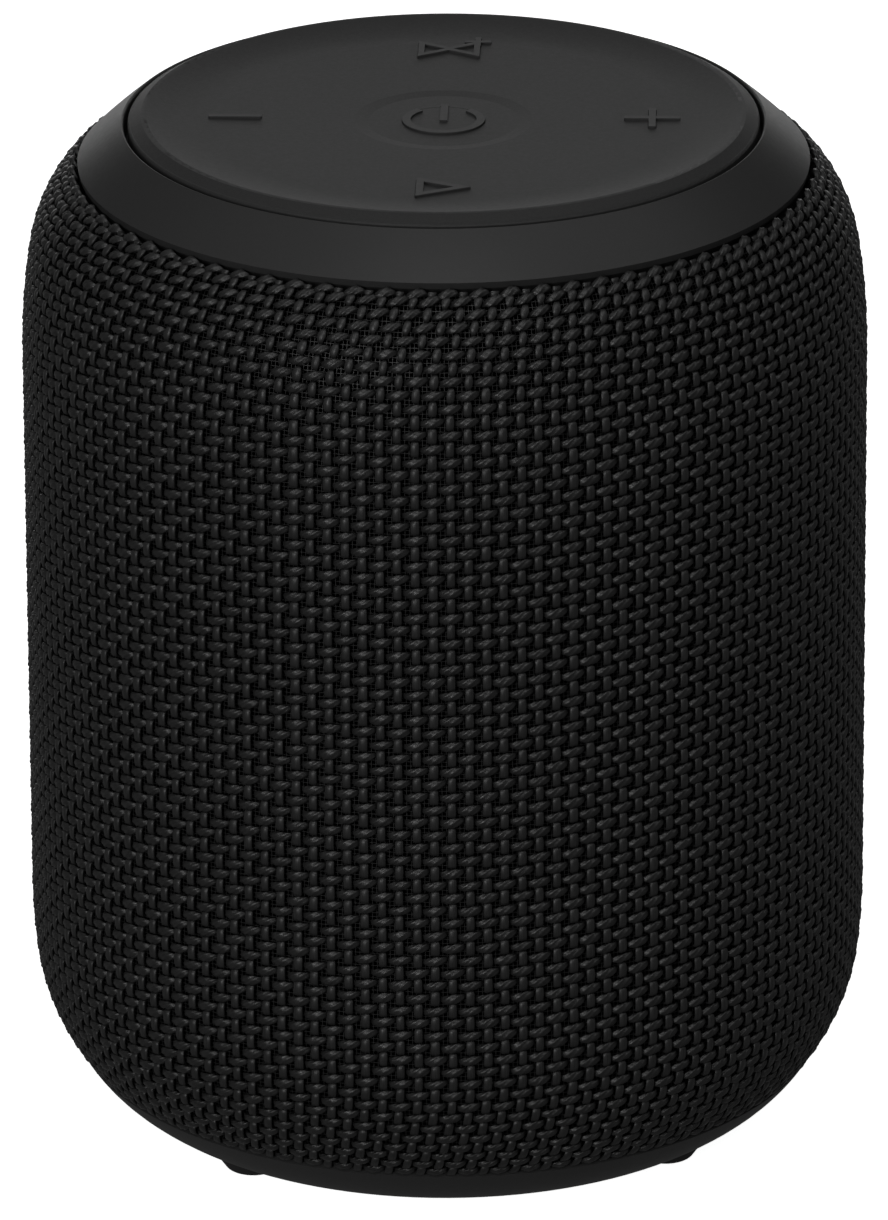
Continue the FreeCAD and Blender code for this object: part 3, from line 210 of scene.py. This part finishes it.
class YarnMesh:
    """Collects tubes as rings of points, and makes one mesh of them with a UV map along each yarn."""

    def __init__(self, sides):
        self.sides = sides
        self.points, self.quads, self.quad_uv, self.caps = [], [], [], []
        self.count = 0

    def add(self, rings, closed=False):
        """One tube through rings of points, (rings, sides, 3), in millimetres."""
        steps = len(rings) if closed else len(rings) - 1
        index = np.arange(len(rings) * self.sides).reshape(len(rings), self.sides) + self.count
        start, end = index[:steps], np.roll(index, -1, axis=0)[:steps]
        quads = np.stack([start, np.roll(start, -1, axis=1), np.roll(end, -1, axis=1), end], axis=-1)
        self.quads.append(quads.reshape(-1, 4))
        spans = np.linalg.norm(np.diff(rings.mean(axis=1), axis=0, append=rings[:1].mean(axis=1)), axis=1)
        along = np.concatenate([[0.0], np.cumsum(spans)])
        first = np.broadcast_to(along[:steps, None], (steps, self.sides))
        last = np.broadcast_to(along[1:steps + 1, None], (steps, self.sides))
        low = np.broadcast_to(np.arange(self.sides)[None] / self.sides, (steps, self.sides))
        high = low + 1 / self.sides
        corners = [(first, low), (first, high), (last, high), (last, low)]
        corner_uv = [np.stack(corner, axis=-1) for corner in corners]
        self.quad_uv.append(np.stack(corner_uv, axis=2).reshape(-1, 2))
        if not closed:
            self.caps += [index[0], index[-1][::-1]]
        self.points.append(rings.reshape(-1, 3))
        self.count += len(rings) * self.sides

    def make(self, name):
        points = np.concatenate(self.points) * MM
        quads = np.concatenate(self.quads)
        corners = np.concatenate([quads.ravel(), *self.caps])
        cap_starts = len(quads) * 4 + np.arange(len(self.caps)) * self.sides
        starts = np.concatenate([np.arange(len(quads)) * 4, cap_starts])
        mesh = bpy.data.meshes.new(name)
        mesh.vertices.add(len(points))
        mesh.vertices.foreach_set("co", points.ravel())
        mesh.loops.add(len(corners))
        mesh.loops.foreach_set("vertex_index", corners.astype(np.int32))
        mesh.polygons.add(len(starts))
        mesh.polygons.foreach_set("loop_start", starts.astype(np.int32))
        uv = np.zeros((len(corners), 2))
        uv[:len(quads) * 4] = np.concatenate(self.quad_uv)
        mesh.uv_layers.new(name="yarn").data.foreach_set("uv", uv.ravel())
        mesh.update(calc_edges=True)
        mesh.shade_smooth()
        return link(bpy.data.objects.new(name, mesh))


def link(obj):
    bpy.context.scene.collection.objects.link(obj)
    return obj


def yarn_rings(centres, across, out, half_width, half_thickness, angles, relief, squareness=1.0):
    """Sections round a centre line, elliptic or (squareness below 1) boxy.

    angles and relief are (points, sides).
    """
    cos, sin = (np.sign(value) * np.abs(value) ** squareness for value in (np.cos(angles), np.sin(angles)))
    wide = (half_width[:, None] * cos * relief)[..., None] * across[:, None]
    deep = (half_thickness[:, None] * sin * relief)[..., None] * out[:, None]
    return centres[:, None] + wide + deep


def surface_frame(theta, arc, inset):
    """Point, way round, way up and way out at each place on the hull, in millimetres."""
    radius, height, turn = HULL.at(arc, inset)
    points = np.stack([radius * np.cos(theta), radius * np.sin(theta), height], axis=1)
    around = np.stack([-np.sin(theta), np.cos(theta), np.zeros_like(theta)], axis=1)
    out = np.stack([np.cos(turn) * np.cos(theta), np.cos(turn) * np.sin(theta), np.sin(turn)], axis=1)
    return points, around, np.cross(out, around), out


def tilted(out, way, points):
    """The outward direction square to a path that rises and dips through these points."""
    path = np.gradient(points, axis=0)
    rise = (path * out).sum(axis=1) / np.maximum((path * way).sum(axis=1), 1e-9)
    square = out - way * rise[:, None]
    return square / np.linalg.norm(square, axis=1)[:, None]


def runs_of(keep):
    """First and last index of each unbroken run of kept samples."""
    edges = np.flatnonzero(np.diff(np.concatenate([[0], keep.astype(int), [0]])))
    return [(first, last - 1) for first, last in zip(edges[::2], edges[1::2]) if last - first > 2]


def warp_yarn(mesh, column, rng):
    """One upright yarn, smooth and barely twisted, from the cloth's bottom edge to its top edge."""
    shift = column + PARITY
    middles = np.arange(-2, len(ROWS) + 2) * 2 - shift % 2
    number = (middles[:, None] + WARP_SAMPLES).ravel()
    fine = np.linspace(0, HULL.length, 4000)
    arc = np.unique(np.interp(number, row_number(fine), fine))
    wander = rng.normal(0.0, WARP_WANDER)
    wander = wander + WARP_WANDER * np.sin(arc * rng.uniform(*WARP_WANDER_RATE) + rng.uniform(0, 6))
    theta = FIRST_WARP + 2 * math.pi * column / WARP_COUNT + lean(arc) + wander / SIDE_TOP[0]
    inset, half_width, half_thickness = yarn_shape(place_in_float(row_number(arc) + shift), arc, WARP)
    points, _, up, out = surface_frame(theta, arc, inset)
    around = np.cross(up, out)
    swell = 1 + WARP_SWELL * rng.standard_normal()
    swell = swell + WARP_RIPPLE * np.sin(arc * rng.uniform(*WARP_RIPPLE_RATE) + rng.uniform(0, 6))
    angles = np.broadcast_to(np.arange(WARP_SIDES) * 2 * math.pi / WARP_SIDES, (len(arc), WARP_SIDES))
    rings = yarn_rings(points, -around, tilted(out, up, points), half_width * swell, half_thickness,
                       angles, np.ones_like(angles), WARP_SQUARENESS)
    for first, last in runs_of(outside_window(points, YARN_CUT)):
        mesh.add(rings[first:last + 1])


def weft_yarn(mesh, row, rng):
    """One yarn round the body: a plied, twisted strand that swells and slants where it floats."""
    shift = row + PARITY + 1
    rear = int((math.pi / 2 - FIRST_WARP) / (2 * math.pi) * WARP_COUNT)
    middles = rear + (rear + shift) % 2 + 2 * np.arange(WARP_COUNT // 2)
    number = (middles[:, None] + WEFT_SAMPLES).ravel()
    theta = FIRST_WARP + 2 * math.pi * number / WARP_COUNT + lean(ROWS[row])
    place = place_in_float(number + shift)
    inset, half_width, half_thickness = yarn_shape(place, ROWS[row], WEFT)
    steep = smooth_step((ROWS[row] - TOP_SLANT_START) / TOP_SLANT_SPAN)
    slant = (WEFT_SLANT + (TOP_WEFT_SLANT - WEFT_SLANT) * steep) * np.clip(place / WEFT["reach"], -1, 1)
    slant = slant * (1 - smooth_step((np.abs(place) - WEFT["dive"]) / (1 - WEFT["dive"])))
    arc = ROWS[row] + slant + WEFT_WANDER * np.sin(theta * rng.integers(2, 6) + rng.uniform(0, 6))
    points, around, up, out = surface_frame(theta, arc, inset)
    swell = np.repeat(1 + WEFT_SWELL * rng.standard_normal(len(middles)), len(WEFT_SAMPLES))
    side = np.arange(WEFT_SIDES) * 2 * math.pi / WEFT_SIDES
    turned = np.repeat(rng.normal(0.0, WEFT_TWIST_SPREAD, len(middles)), len(WEFT_SAMPLES))
    angles = side[None] + (PLY_START + turned - math.pi * number)[:, None]
    plies = np.abs(np.cos(WEFT_PLIES * side / 2))
    relief = np.broadcast_to(1 - PLY_RELIEF + PLY_RELIEF * plies, angles.shape)
    rings = yarn_rings(points, up, tilted(out, around, points), half_width * swell, half_thickness,
                       angles, relief)
    keep = outside_window(points, YARN_CUT)
    if keep.all():
        mesh.add(rings, closed=True)
        return
    for first, last in runs_of(keep):
        mesh.add(rings[first:last + 1])


def make_yarns():
    """Warp and weft, each split over a few pieces."""
    rng = np.random.default_rng(RANDOM_SEED)
    pieces = []
    for name, count, split, sides, yarn in (("warp", WARP_COUNT, WARP_PIECES, WARP_SIDES, warp_yarn),
                                            ("weft", len(ROWS), WEFT_PIECES, WEFT_SIDES, weft_yarn)):
        for part, members in enumerate(np.array_split(np.arange(count), split), start=1):
            mesh = YarnMesh(sides)
            for member in members:
                yarn(mesh, int(member), rng)
            piece = mesh.make(f"fabric_{name}_{part:02d}")
            piece.data.materials.append(FINISHES[name + "_yarn"]())
            pieces.append(piece)
    return pieces


def make_binding():
    """The rolled edge round the rear window that holds the cut yarns."""
    reach = WINDOW_RADIUS + BINDING_OFFSET
    half_turn = np.linspace(0, math.pi, 28)
    ends = [(np.cos(half_turn + turn) * reach, np.sin(half_turn + turn) * reach + lift)
            for turn, lift in ((0.0, WINDOW_HALF_STRAIGHT), (math.pi, -WINDOW_HALF_STRAIGHT))]
    straight = np.linspace(WINDOW_HALF_STRAIGHT, -WINDOW_HALF_STRAIGHT, 12)[1:-1]
    left = (np.full(10, -reach), straight)
    right = (np.full(10, reach), -straight)
    x, lift = (np.concatenate(values) for values in zip(ends[0], left, ends[1], right))
    height = WINDOW_HEIGHT + lift
    arc = np.interp(height, HULL.points[:, 1], HULL.arcs)
    radius, _, turn = HULL.at(arc, BINDING_DEPTH)
    centres = np.stack([x, np.sqrt(radius ** 2 - x ** 2), height], axis=1)
    along = np.roll(centres, -1, axis=0) - np.roll(centres, 1, axis=0)
    along /= np.linalg.norm(along, axis=1)[:, None]
    out = centres * [1, 1, 0] / radius[:, None]
    across = np.cross(out, along)
    sides = 10
    angles = np.broadcast_to(np.arange(sides) * 2 * math.pi / sides, (len(centres), sides))
    half = np.full(len(centres), BINDING_RADIUS)
    mesh = YarnMesh(sides)
    rings = yarn_rings(centres, across, np.cross(along, across), half, half, angles, np.ones_like(angles))
    mesh.add(rings, closed=True)
    binding = mesh.make("fabric_window_binding")
    binding.data.materials.append(FINISHES["fabric_binding"]())
    return binding


def make_net():
    """The fine black net behind the yarns: the CAD sleeve's own shape with its outer face moved in."""
    net_outer_inset, net_inner_inset = 0.82, 1.28
    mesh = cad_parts["fabric_sleeve"].data.copy()
    mesh.name = "fabric_net"
    points = np.zeros(len(mesh.vertices) * 3)
    mesh.vertices.foreach_get("co", points)
    points = points.reshape(-1, 3) / MM
    radius = np.hypot(points[:, 0], points[:, 1])
    inset, turn = HULL.inset_of(radius, points[:, 2])
    wanted = net_outer_inset + (net_inner_inset - net_outer_inset) * np.clip(inset / CLOTH_THICKNESS, 0, 1)
    shift = inset - wanted
    scale = 1 + shift * np.cos(turn) / radius
    points[:, 0] *= scale
    points[:, 1] *= scale
    points[:, 2] += shift * np.sin(turn)
    mesh.vertices.foreach_set("co", (points * MM).ravel())
    mesh.materials.clear()
    mesh.update()
    net = link(bpy.data.objects.new("fabric_net", mesh))
    mesh.materials.append(FINISHES["fabric_net"]())
    return net


# ---------------------------------------------------------------- materials

class Finish:
    """A Principled material with short calls for the procedural nodes on it."""

    def __init__(self, name, **constants):
        self.material = bpy.data.materials.new(name)
        self.material.use_nodes = True
        self.tree = self.material.node_tree
        self.shader = self.tree.nodes["Principled BSDF"]
        for socket, value in constants.items():
            self.shader.inputs[socket.replace("_", " ")].default_value = value
        self.place = self.add("ShaderNodeTexCoord").outputs["Object"]
        self.height = None

    def add(self, kind, **inputs):
        node = self.tree.nodes.new(kind)
        for socket, value in inputs.items():
            self.feed(node.inputs[socket.replace("_", " ")], value)
        return node

    def feed(self, socket, value):
        if isinstance(value, bpy.types.NodeSocket):
            self.tree.links.new(value, socket)
        else:
            socket.default_value = value

    def math(self, operation, first, second=0.0):
        node = self.add("ShaderNodeMath")
        node.operation = operation
        self.feed(node.inputs[0], first)
        self.feed(node.inputs[1], second)
        return node.outputs[0]

    def stretched(self, source, scale):
        """A texture place stretched by (x, y, z)."""
        node = self.add("ShaderNodeMapping", Vector=source)
        node.inputs["Scale"].default_value = scale
        return node.outputs[0]

    def noise(self, grain, detail=3.0, roughness=0.55, place=None):
        """Noise from 0 to 1 with features about grain metres across."""
        node = self.add("ShaderNodeTexNoise", Scale=1 / grain, Detail=detail, Roughness=roughness,
                        Vector=place or self.place)
        return node.outputs["Fac"]

    def between(self, value, low, high, start=0.3, end=0.7):
        """A number that goes from low to high as value goes from start to end."""
        node = self.add("ShaderNodeMapRange", Value=value)
        for socket, number in (("From Min", start), ("From Max", end), ("To Min", low), ("To Max", high)):
            node.inputs[socket].default_value = number
        return node.outputs[0]

    def tint(self, value, dark, light):
        """A colour between dark and light, each a grey level, an (r, g, b) or a node's socket."""
        node = self.add("ShaderNodeMix")
        node.data_type = "RGBA"
        self.feed(node.inputs["Factor"], value)
        for socket, colour in ((node.inputs[6], dark), (node.inputs[7], light)):
            if isinstance(colour, (int, float)):
                colour = (colour, colour, colour)
            self.feed(socket, (*colour, 1.0) if isinstance(colour, tuple) else colour)
        return node.outputs[2]

    def colour(self, source):
        self.feed(self.shader.inputs["Base Color"], source)

    def roughness(self, source):
        self.feed(self.shader.inputs["Roughness"], source)

    def bump(self, height, depth):
        """Relief of so many metres; calls stack."""
        node = self.add("ShaderNodeBump", Height=height, Distance=depth, Strength=1.0)
        if self.height:
            self.feed(node.inputs["Normal"], self.height)
        self.height = node.outputs[0]
        self.feed(self.shader.inputs["Normal"], self.height)


def cached(make):
    """Each material is made once, however many pieces use it."""
    made = {}

    def once(*args):
        if args not in made:
            made[args] = make(*args)
        return made[args]
    return once


# painted highlight: the paler colour painted on the tops of raised signs, as if they catch the light
SIGN_TOP_HIGHLIGHT, SIGN_EDGE = 0.036, 0.02 * MM
SPECKLE, GLOSS_PATCH, GLOSS_SPREAD = 0.25 * MM, 0.6 * MM, 0.025


def moulded(name, dark, light, roughness, grain, relief, specular=0.5, coat=0.0, raised_above=None):
    """Moulded plastic or rubber: fine speckle and surface grain, and slightly uneven gloss.

    Signs that stand above a height (raised_above, metres) have their tops painted a little paler: a painted
    highlight, as if light catches them.
    """
    finish = Finish(name, Specular_IOR_Level=specular, Coat_Weight=coat)
    speckle = finish.noise(SPECKLE, detail=3)
    colour = finish.tint(finish.between(speckle, 0, 1), dark, light)
    if raised_above:
        height = finish.add("ShaderNodeSeparateXYZ", Vector=finish.place).outputs[2]
        # painted highlight: tops of raised signs painted paler than the panel
        sign = finish.between(height, 0, 1, raised_above - SIGN_EDGE, raised_above + SIGN_EDGE)
        colour = finish.tint(sign, colour, SIGN_TOP_HIGHLIGHT)
    finish.colour(colour)
    gloss = finish.noise(GLOSS_PATCH, detail=4)
    finish.roughness(finish.between(gloss, roughness - GLOSS_SPREAD, roughness + GLOSS_SPREAD))
    finish.bump(finish.noise(grain, detail=2), relief)
    return finish.material


@cached
def panel_rubber(raised_above=None):
    return moulded("panel_soft_rubber", 0.020, 0.027, 0.6, 0.12 * MM, 0.01 * MM, specular=0.25,
                   raised_above=raised_above)


@cached
def bezel_plastic():
    return moulded("bezel_satin_plastic", 0.02, 0.024, 0.46, 0.12 * MM, 0.004 * MM, specular=0.3)


@cached
def base_plastic():
    return moulded("base_satin_plastic", 0.024, 0.029, 0.45, 0.12 * MM, 0.004 * MM, specular=0.35)


@cached
def foot_rubber():
    return moulded("foot_rubber", 0.016, 0.021, 0.7, 0.2 * MM, 0.01 * MM, specular=0.3)


@cached
def port_plastic():
    return moulded("port_plastic", 0.018, 0.022, 0.45, 0.12 * MM, 0.004 * MM, specular=0.4)


@cached
def port_rubber():
    return moulded("port_rubber", 0.022, 0.027, 0.6, 0.1 * MM, 0.006 * MM, specular=0.3)


@cached
def inner_plastic():
    return moulded("inner_plastic", 0.035, 0.045, 0.5, 0.15 * MM, 0.005 * MM)


@cached
def foam():
    finish = Finish("gasket_foam")
    cells = finish.noise(0.35 * MM, detail=6, roughness=0.7)
    finish.colour(finish.tint(cells, 0.02, 0.07))
    finish.roughness(finish.between(cells, 0.8, 0.95))
    finish.bump(cells, 0.1 * MM)
    return finish.material


@cached
def circuit_board():
    """Green solder mask with copper tracks that show faintly through it."""
    finish = Finish("circuit_board", Coat_Weight=0.3, Coat_Roughness=0.15)
    cells = finish.add("ShaderNodeTexVoronoi", Vector=finish.place, Scale=1 / (2.4 * MM))
    cells.distance = "MANHATTAN"
    tracks = finish.between(cells.outputs["Distance"], 0, 1, 0.42, 0.46)
    finish.colour(finish.tint(tracks, (0.008, 0.06, 0.03), (0.02, 0.11, 0.055)))
    finish.roughness(finish.between(finish.noise(1.5 * MM), 0.28, 0.4))
    finish.bump(tracks, 0.03 * MM)
    return finish.material


@cached
def chip_plastic():
    return moulded("chip_plastic", 0.03, 0.04, 0.55, 0.08 * MM, 0.004 * MM)


@cached
def plunger_plastic():
    return moulded("plunger_plastic", 0.42, 0.5, 0.4, 0.15 * MM, 0.004 * MM)


def metal(name, dark, light, roughness, stretch):
    """Metal with fine drawn lines."""
    finish = Finish(name, Metallic=1.0)
    lines = finish.noise(0.2 * MM, detail=4, place=finish.stretched(finish.place, stretch))
    finish.colour(finish.tint(finish.between(lines, 0, 1), dark, light))
    finish.roughness(finish.between(lines, roughness - 0.08, roughness + 0.08))
    finish.bump(lines, 0.004 * MM)
    return finish.material


@cached
def socket_steel():
    return metal("socket_plated_steel", 0.5, 0.62, 0.25, (1, 0.05, 1))


@cached
def magnet_iron():
    return metal("magnet_plated_iron", 0.28, 0.36, 0.4, (1, 1, 1))


@cached
def jack_plastic():
    return moulded("jack_plastic", 0.03, 0.04, 0.4, 0.12 * MM, 0.004 * MM)


@cached
def cell_wrap():
    """Shrink sleeve, with slight wrinkles along the cell."""
    finish = Finish("cell_shrink_sleeve", Coat_Weight=0.4, Coat_Roughness=0.1)
    wrinkles = finish.noise(1.5 * MM, detail=3, place=finish.stretched(finish.place, (0.08, 1, 1)))
    finish.colour(finish.tint(wrinkles, (0.03, 0.12, 0.3), (0.05, 0.17, 0.38)))
    finish.roughness(finish.between(wrinkles, 0.22, 0.34))
    finish.bump(wrinkles, 0.04 * MM)
    return finish.material


@cached
def basket_steel():
    return moulded("basket_painted_steel", 0.035, 0.045, 0.38, 0.3 * MM, 0.01 * MM, coat=0.2)


@cached
def cone_paper():
    """Coated pulp with pressed fibres."""
    finish = Finish("cone_paper")
    fibres = finish.noise(0.25 * MM, detail=6, roughness=0.7)
    finish.colour(finish.tint(fibres, 0.03, 0.06))
    finish.roughness(finish.between(fibres, 0.6, 0.8))
    finish.bump(fibres, 0.03 * MM)
    return finish.material


@cached
def surround_rubber():
    return moulded("surround_rubber", 0.018, 0.023, 0.5, 0.1 * MM, 0.004 * MM)


@cached
def radiator_plate():
    return moulded("radiator_plate", 0.04, 0.05, 0.5, 0.15 * MM, 0.005 * MM)


def yarn_finish(name, dark, light, roughness, strands, relief):
    """Dyed filament yarn: fine fibres along the strand, thread-to-thread variation and a soft sheen."""
    finish = Finish(name, Specular_IOR_Level=0.4, Sheen_Weight=0.02, Sheen_Roughness=0.4)
    uv = finish.add("ShaderNodeUVMap")
    uv.uv_map = "yarn"
    fibre_place = finish.stretched(uv.outputs[0], (0.35, strands, 1.0))
    fibres = finish.add("ShaderNodeTexNoise", Vector=fibre_place, Scale=1.0, Detail=3.0, Roughness=0.6)
    fibres.noise_dimensions = "2D"
    fibre = fibres.outputs["Fac"]
    patches = finish.noise(1.6 * MM, detail=3)
    tone = finish.math("MULTIPLY", finish.between(fibre, 0.2, 1.0), finish.between(patches, 0.5, 1.0))
    finish.colour(finish.tint(tone, dark, light))
    finish.roughness(finish.between(fibre, roughness + 0.08, roughness - 0.08))
    finish.bump(fibre, relief)
    return finish.material


@cached
def warp_finish():
    return yarn_finish("fabric_warp_yarn", 0.008, 0.026, 0.42, 22.0, 0.02 * MM)


@cached
def weft_finish():
    return yarn_finish("fabric_weft_yarn", 0.007, 0.024, 0.34, 30.0, 0.025 * MM)


@cached
def net_finish():
    """Fine black net: thin crossed threads, with painted shade in the holes between them: near-black and
    without gloss, standing in for the dark seen through the net.
    """
    thread_pitch = 0.5 * MM
    finish = Finish("fabric_net")
    parts = finish.add("ShaderNodeSeparateXYZ", Vector=finish.place).outputs
    angle = finish.math("ARCTAN2", parts[1], parts[0])
    around = finish.math("MULTIPLY", angle, round(SIDE_TOP[0] * MM / thread_pitch))
    upward = finish.math("DIVIDE", parts[2], thread_pitch)
    threads = finish.math("MAXIMUM",
                          finish.math("PINGPONG", around, 0.5), finish.math("PINGPONG", upward, 0.5))
    thread = finish.between(threads, 0, 1, 0.4, 0.44)
    # painted shade: the holes are near-black and do not reflect, standing in for the dark beyond the net; the
    # threads keep their own colour
    finish.colour(finish.tint(thread, 0.0006, 0.02))
    finish.feed(finish.shader.inputs["Specular IOR Level"], finish.between(thread, 0.0, 0.4, 0, 1))
    finish.roughness(finish.between(thread, 0.9, 0.45))
    finish.bump(thread, 0.08 * MM)
    return finish.material


@cached
def binding_finish():
    """The cloth's heat-sealed edge."""
    finish = Finish("fabric_sealed_edge")
    lumps = finish.noise(0.5 * MM, detail=5)
    finish.colour(finish.tint(lumps, 0.008, 0.02))
    finish.roughness(finish.between(lumps, 0.4, 0.6))
    finish.bump(lumps, 0.08 * MM)
    return finish.material


# the top of each key, down to this depth, gets the painted sign-top highlight colour
SIGN_DEPTH = 0.1 * MM
WORN_EDGE = 0.05 * MM

FINISHES = {
    "panel_rubber": panel_rubber, "bezel_plastic": bezel_plastic, "base_plastic": base_plastic,
    "foot_rubber": foot_rubber, "port_plastic": port_plastic, "port_rubber": port_rubber,
    "inner_plastic": inner_plastic, "foam": foam, "circuit_board": circuit_board,
    "chip_plastic": chip_plastic, "plunger_plastic": plunger_plastic, "socket_steel": socket_steel,
    "jack_plastic": jack_plastic, "cell_wrap": cell_wrap, "basket_steel": basket_steel,
    "magnet_iron": magnet_iron, "cone_paper": cone_paper, "surround_rubber": surround_rubber,
    "radiator_plate": radiator_plate, "fabric": net_finish,
    "warp_yarn": warp_finish, "weft_yarn": weft_finish, "fabric_net": net_finish,
    "fabric_binding": binding_finish,
}


def dress_cad_nodes():
    """Give every CAD node the procedural finish of its own material slot, and the keys worn edges."""
    for name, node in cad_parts.items():
        key = name.endswith("_key")
        for holder in node.material_slots:
            slot = holder.material.name.split(".")[0]
            holder.material = FINISHES[slot](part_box(name)[1][2] - SIGN_DEPTH) if key else FINISHES[slot]()
        if key:
            worn = node.modifiers.new("worn_edges", "BEVEL")
            worn.width, worn.segments, worn.limit_method = WORN_EDGE, 2, "ANGLE"


# ---------------------------------------------------------------- stage, light and camera

FLOOR_SIZE, FLOOR_GLOW, FLOOR_ROUGHNESS = 8.0, 0.95, 0.9


def make_floor():
    """A pale floor that glows to the camera's white, without lighting the object from below."""
    bpy.ops.mesh.primitive_plane_add(size=FLOOR_SIZE)
    floor = bpy.context.object
    floor.name = "floor"
    finish = Finish("floor_white", Specular_IOR_Level=0.0, Emission_Color=(1, 1, 1, 1),
                    Emission_Strength=FLOOR_GLOW)
    finish.colour(finish.tint(finish.noise(0.4), 0.86, 0.88))
    finish.roughness(FLOOR_ROUGHNESS)
    floor.data.materials.append(finish.material)
    floor.visible_diffuse = False
    floor.visible_glossy = False


def soft_light(name, azimuth, elevation, distance, size, power, target):
    """A square soft box that faces the object; azimuth 0 is in front, positive to the right."""
    turn, lift = math.radians(azimuth), math.radians(elevation)
    way = Vector((math.sin(turn) * math.cos(lift), -math.cos(turn) * math.cos(lift), math.sin(lift)))
    data = bpy.data.lights.new(name, "AREA")
    data.shape = "SQUARE"
    data.size = size
    data.energy = power
    lamp = link(bpy.data.objects.new(name, data))
    lamp.location = target + way * distance
    lamp.rotation_euler = (-way).to_track_quat("-Z", "Y").to_euler()


# name, azimuth, elevation, distance, size, power
SOFT_LIGHTS = (
    ("overhead", 0, 78, 1.6, 1.2, 2.6),
    ("front_top", 0, 55, 1.5, 0.8, 4.0),
    ("front_left", -25, 15, 1.5, 0.6, 7.4),
    ("left_top", -90, 55, 1.5, 0.8, 0.8),
    ("right_top", 90, 55, 1.5, 0.8, 1.8),
    ("back_low", 180, 25, 1.5, 0.8, 1.4),
    ("rim_left", -166, 4, 1.3, 0.4, 0.8),
    ("rim_right", 166, 4, 1.3, 0.4, 0.7),
)
SURROUND_GLOW = 0.095


def make_lights(target):
    for name, azimuth, elevation, distance, size, power in SOFT_LIGHTS:
        soft_light(name, azimuth, elevation, distance, size, power, target)
    world = bpy.data.worlds.new("studio")
    world.use_nodes = True
    nodes, links = world.node_tree.nodes, world.node_tree.links
    seen = nodes.new("ShaderNodeLightPath").outputs["Is Camera Ray"]
    strength = nodes.new("ShaderNodeMath")
    strength.operation = "MAXIMUM"
    strength.inputs[1].default_value = SURROUND_GLOW
    links.new(seen, strength.inputs[0])
    background = nodes["Background"]
    background.inputs["Color"].default_value = (1, 1, 1, 1)
    links.new(strength.outputs[0], background.inputs["Strength"])
    bpy.context.scene.world = world


def make_camera(pivot):
    distance, elevation, pitch, roll = 1.0534, 22.402, 22.397, -0.299
    data = bpy.data.cameras.new("camera")
    data.sensor_width = 36.0
    data.lens = 268.83
    data.shift_x = -0.00174
    camera = link(bpy.data.objects.new("camera", data))
    lift = math.radians(elevation)
    camera.location = pivot + Vector((0, -math.cos(lift), math.sin(lift))) * distance
    tilt = Matrix.Rotation(math.radians(90 - pitch), 4, "X") @ Matrix.Rotation(math.radians(roll), 4, "Z")
    camera.rotation_euler = tilt.to_euler()
    data.clip_start, data.clip_end = 0.01, 50.0
    bpy.context.scene.camera = camera


# ---------------------------------------------------------------- build

dress_cad_nodes()
yarns = make_yarns()
binding = make_binding()
net = make_net()
for piece in (net, binding, *yarns):
    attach(piece, "speaker_body")
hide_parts("fabric_sleeve")

PIVOT = Vector((0, 0, 0.05875))
make_floor()
make_lights(PIVOT)
make_camera(PIVOT)
bpy.context.scene.view_settings.view_transform = "Standard"
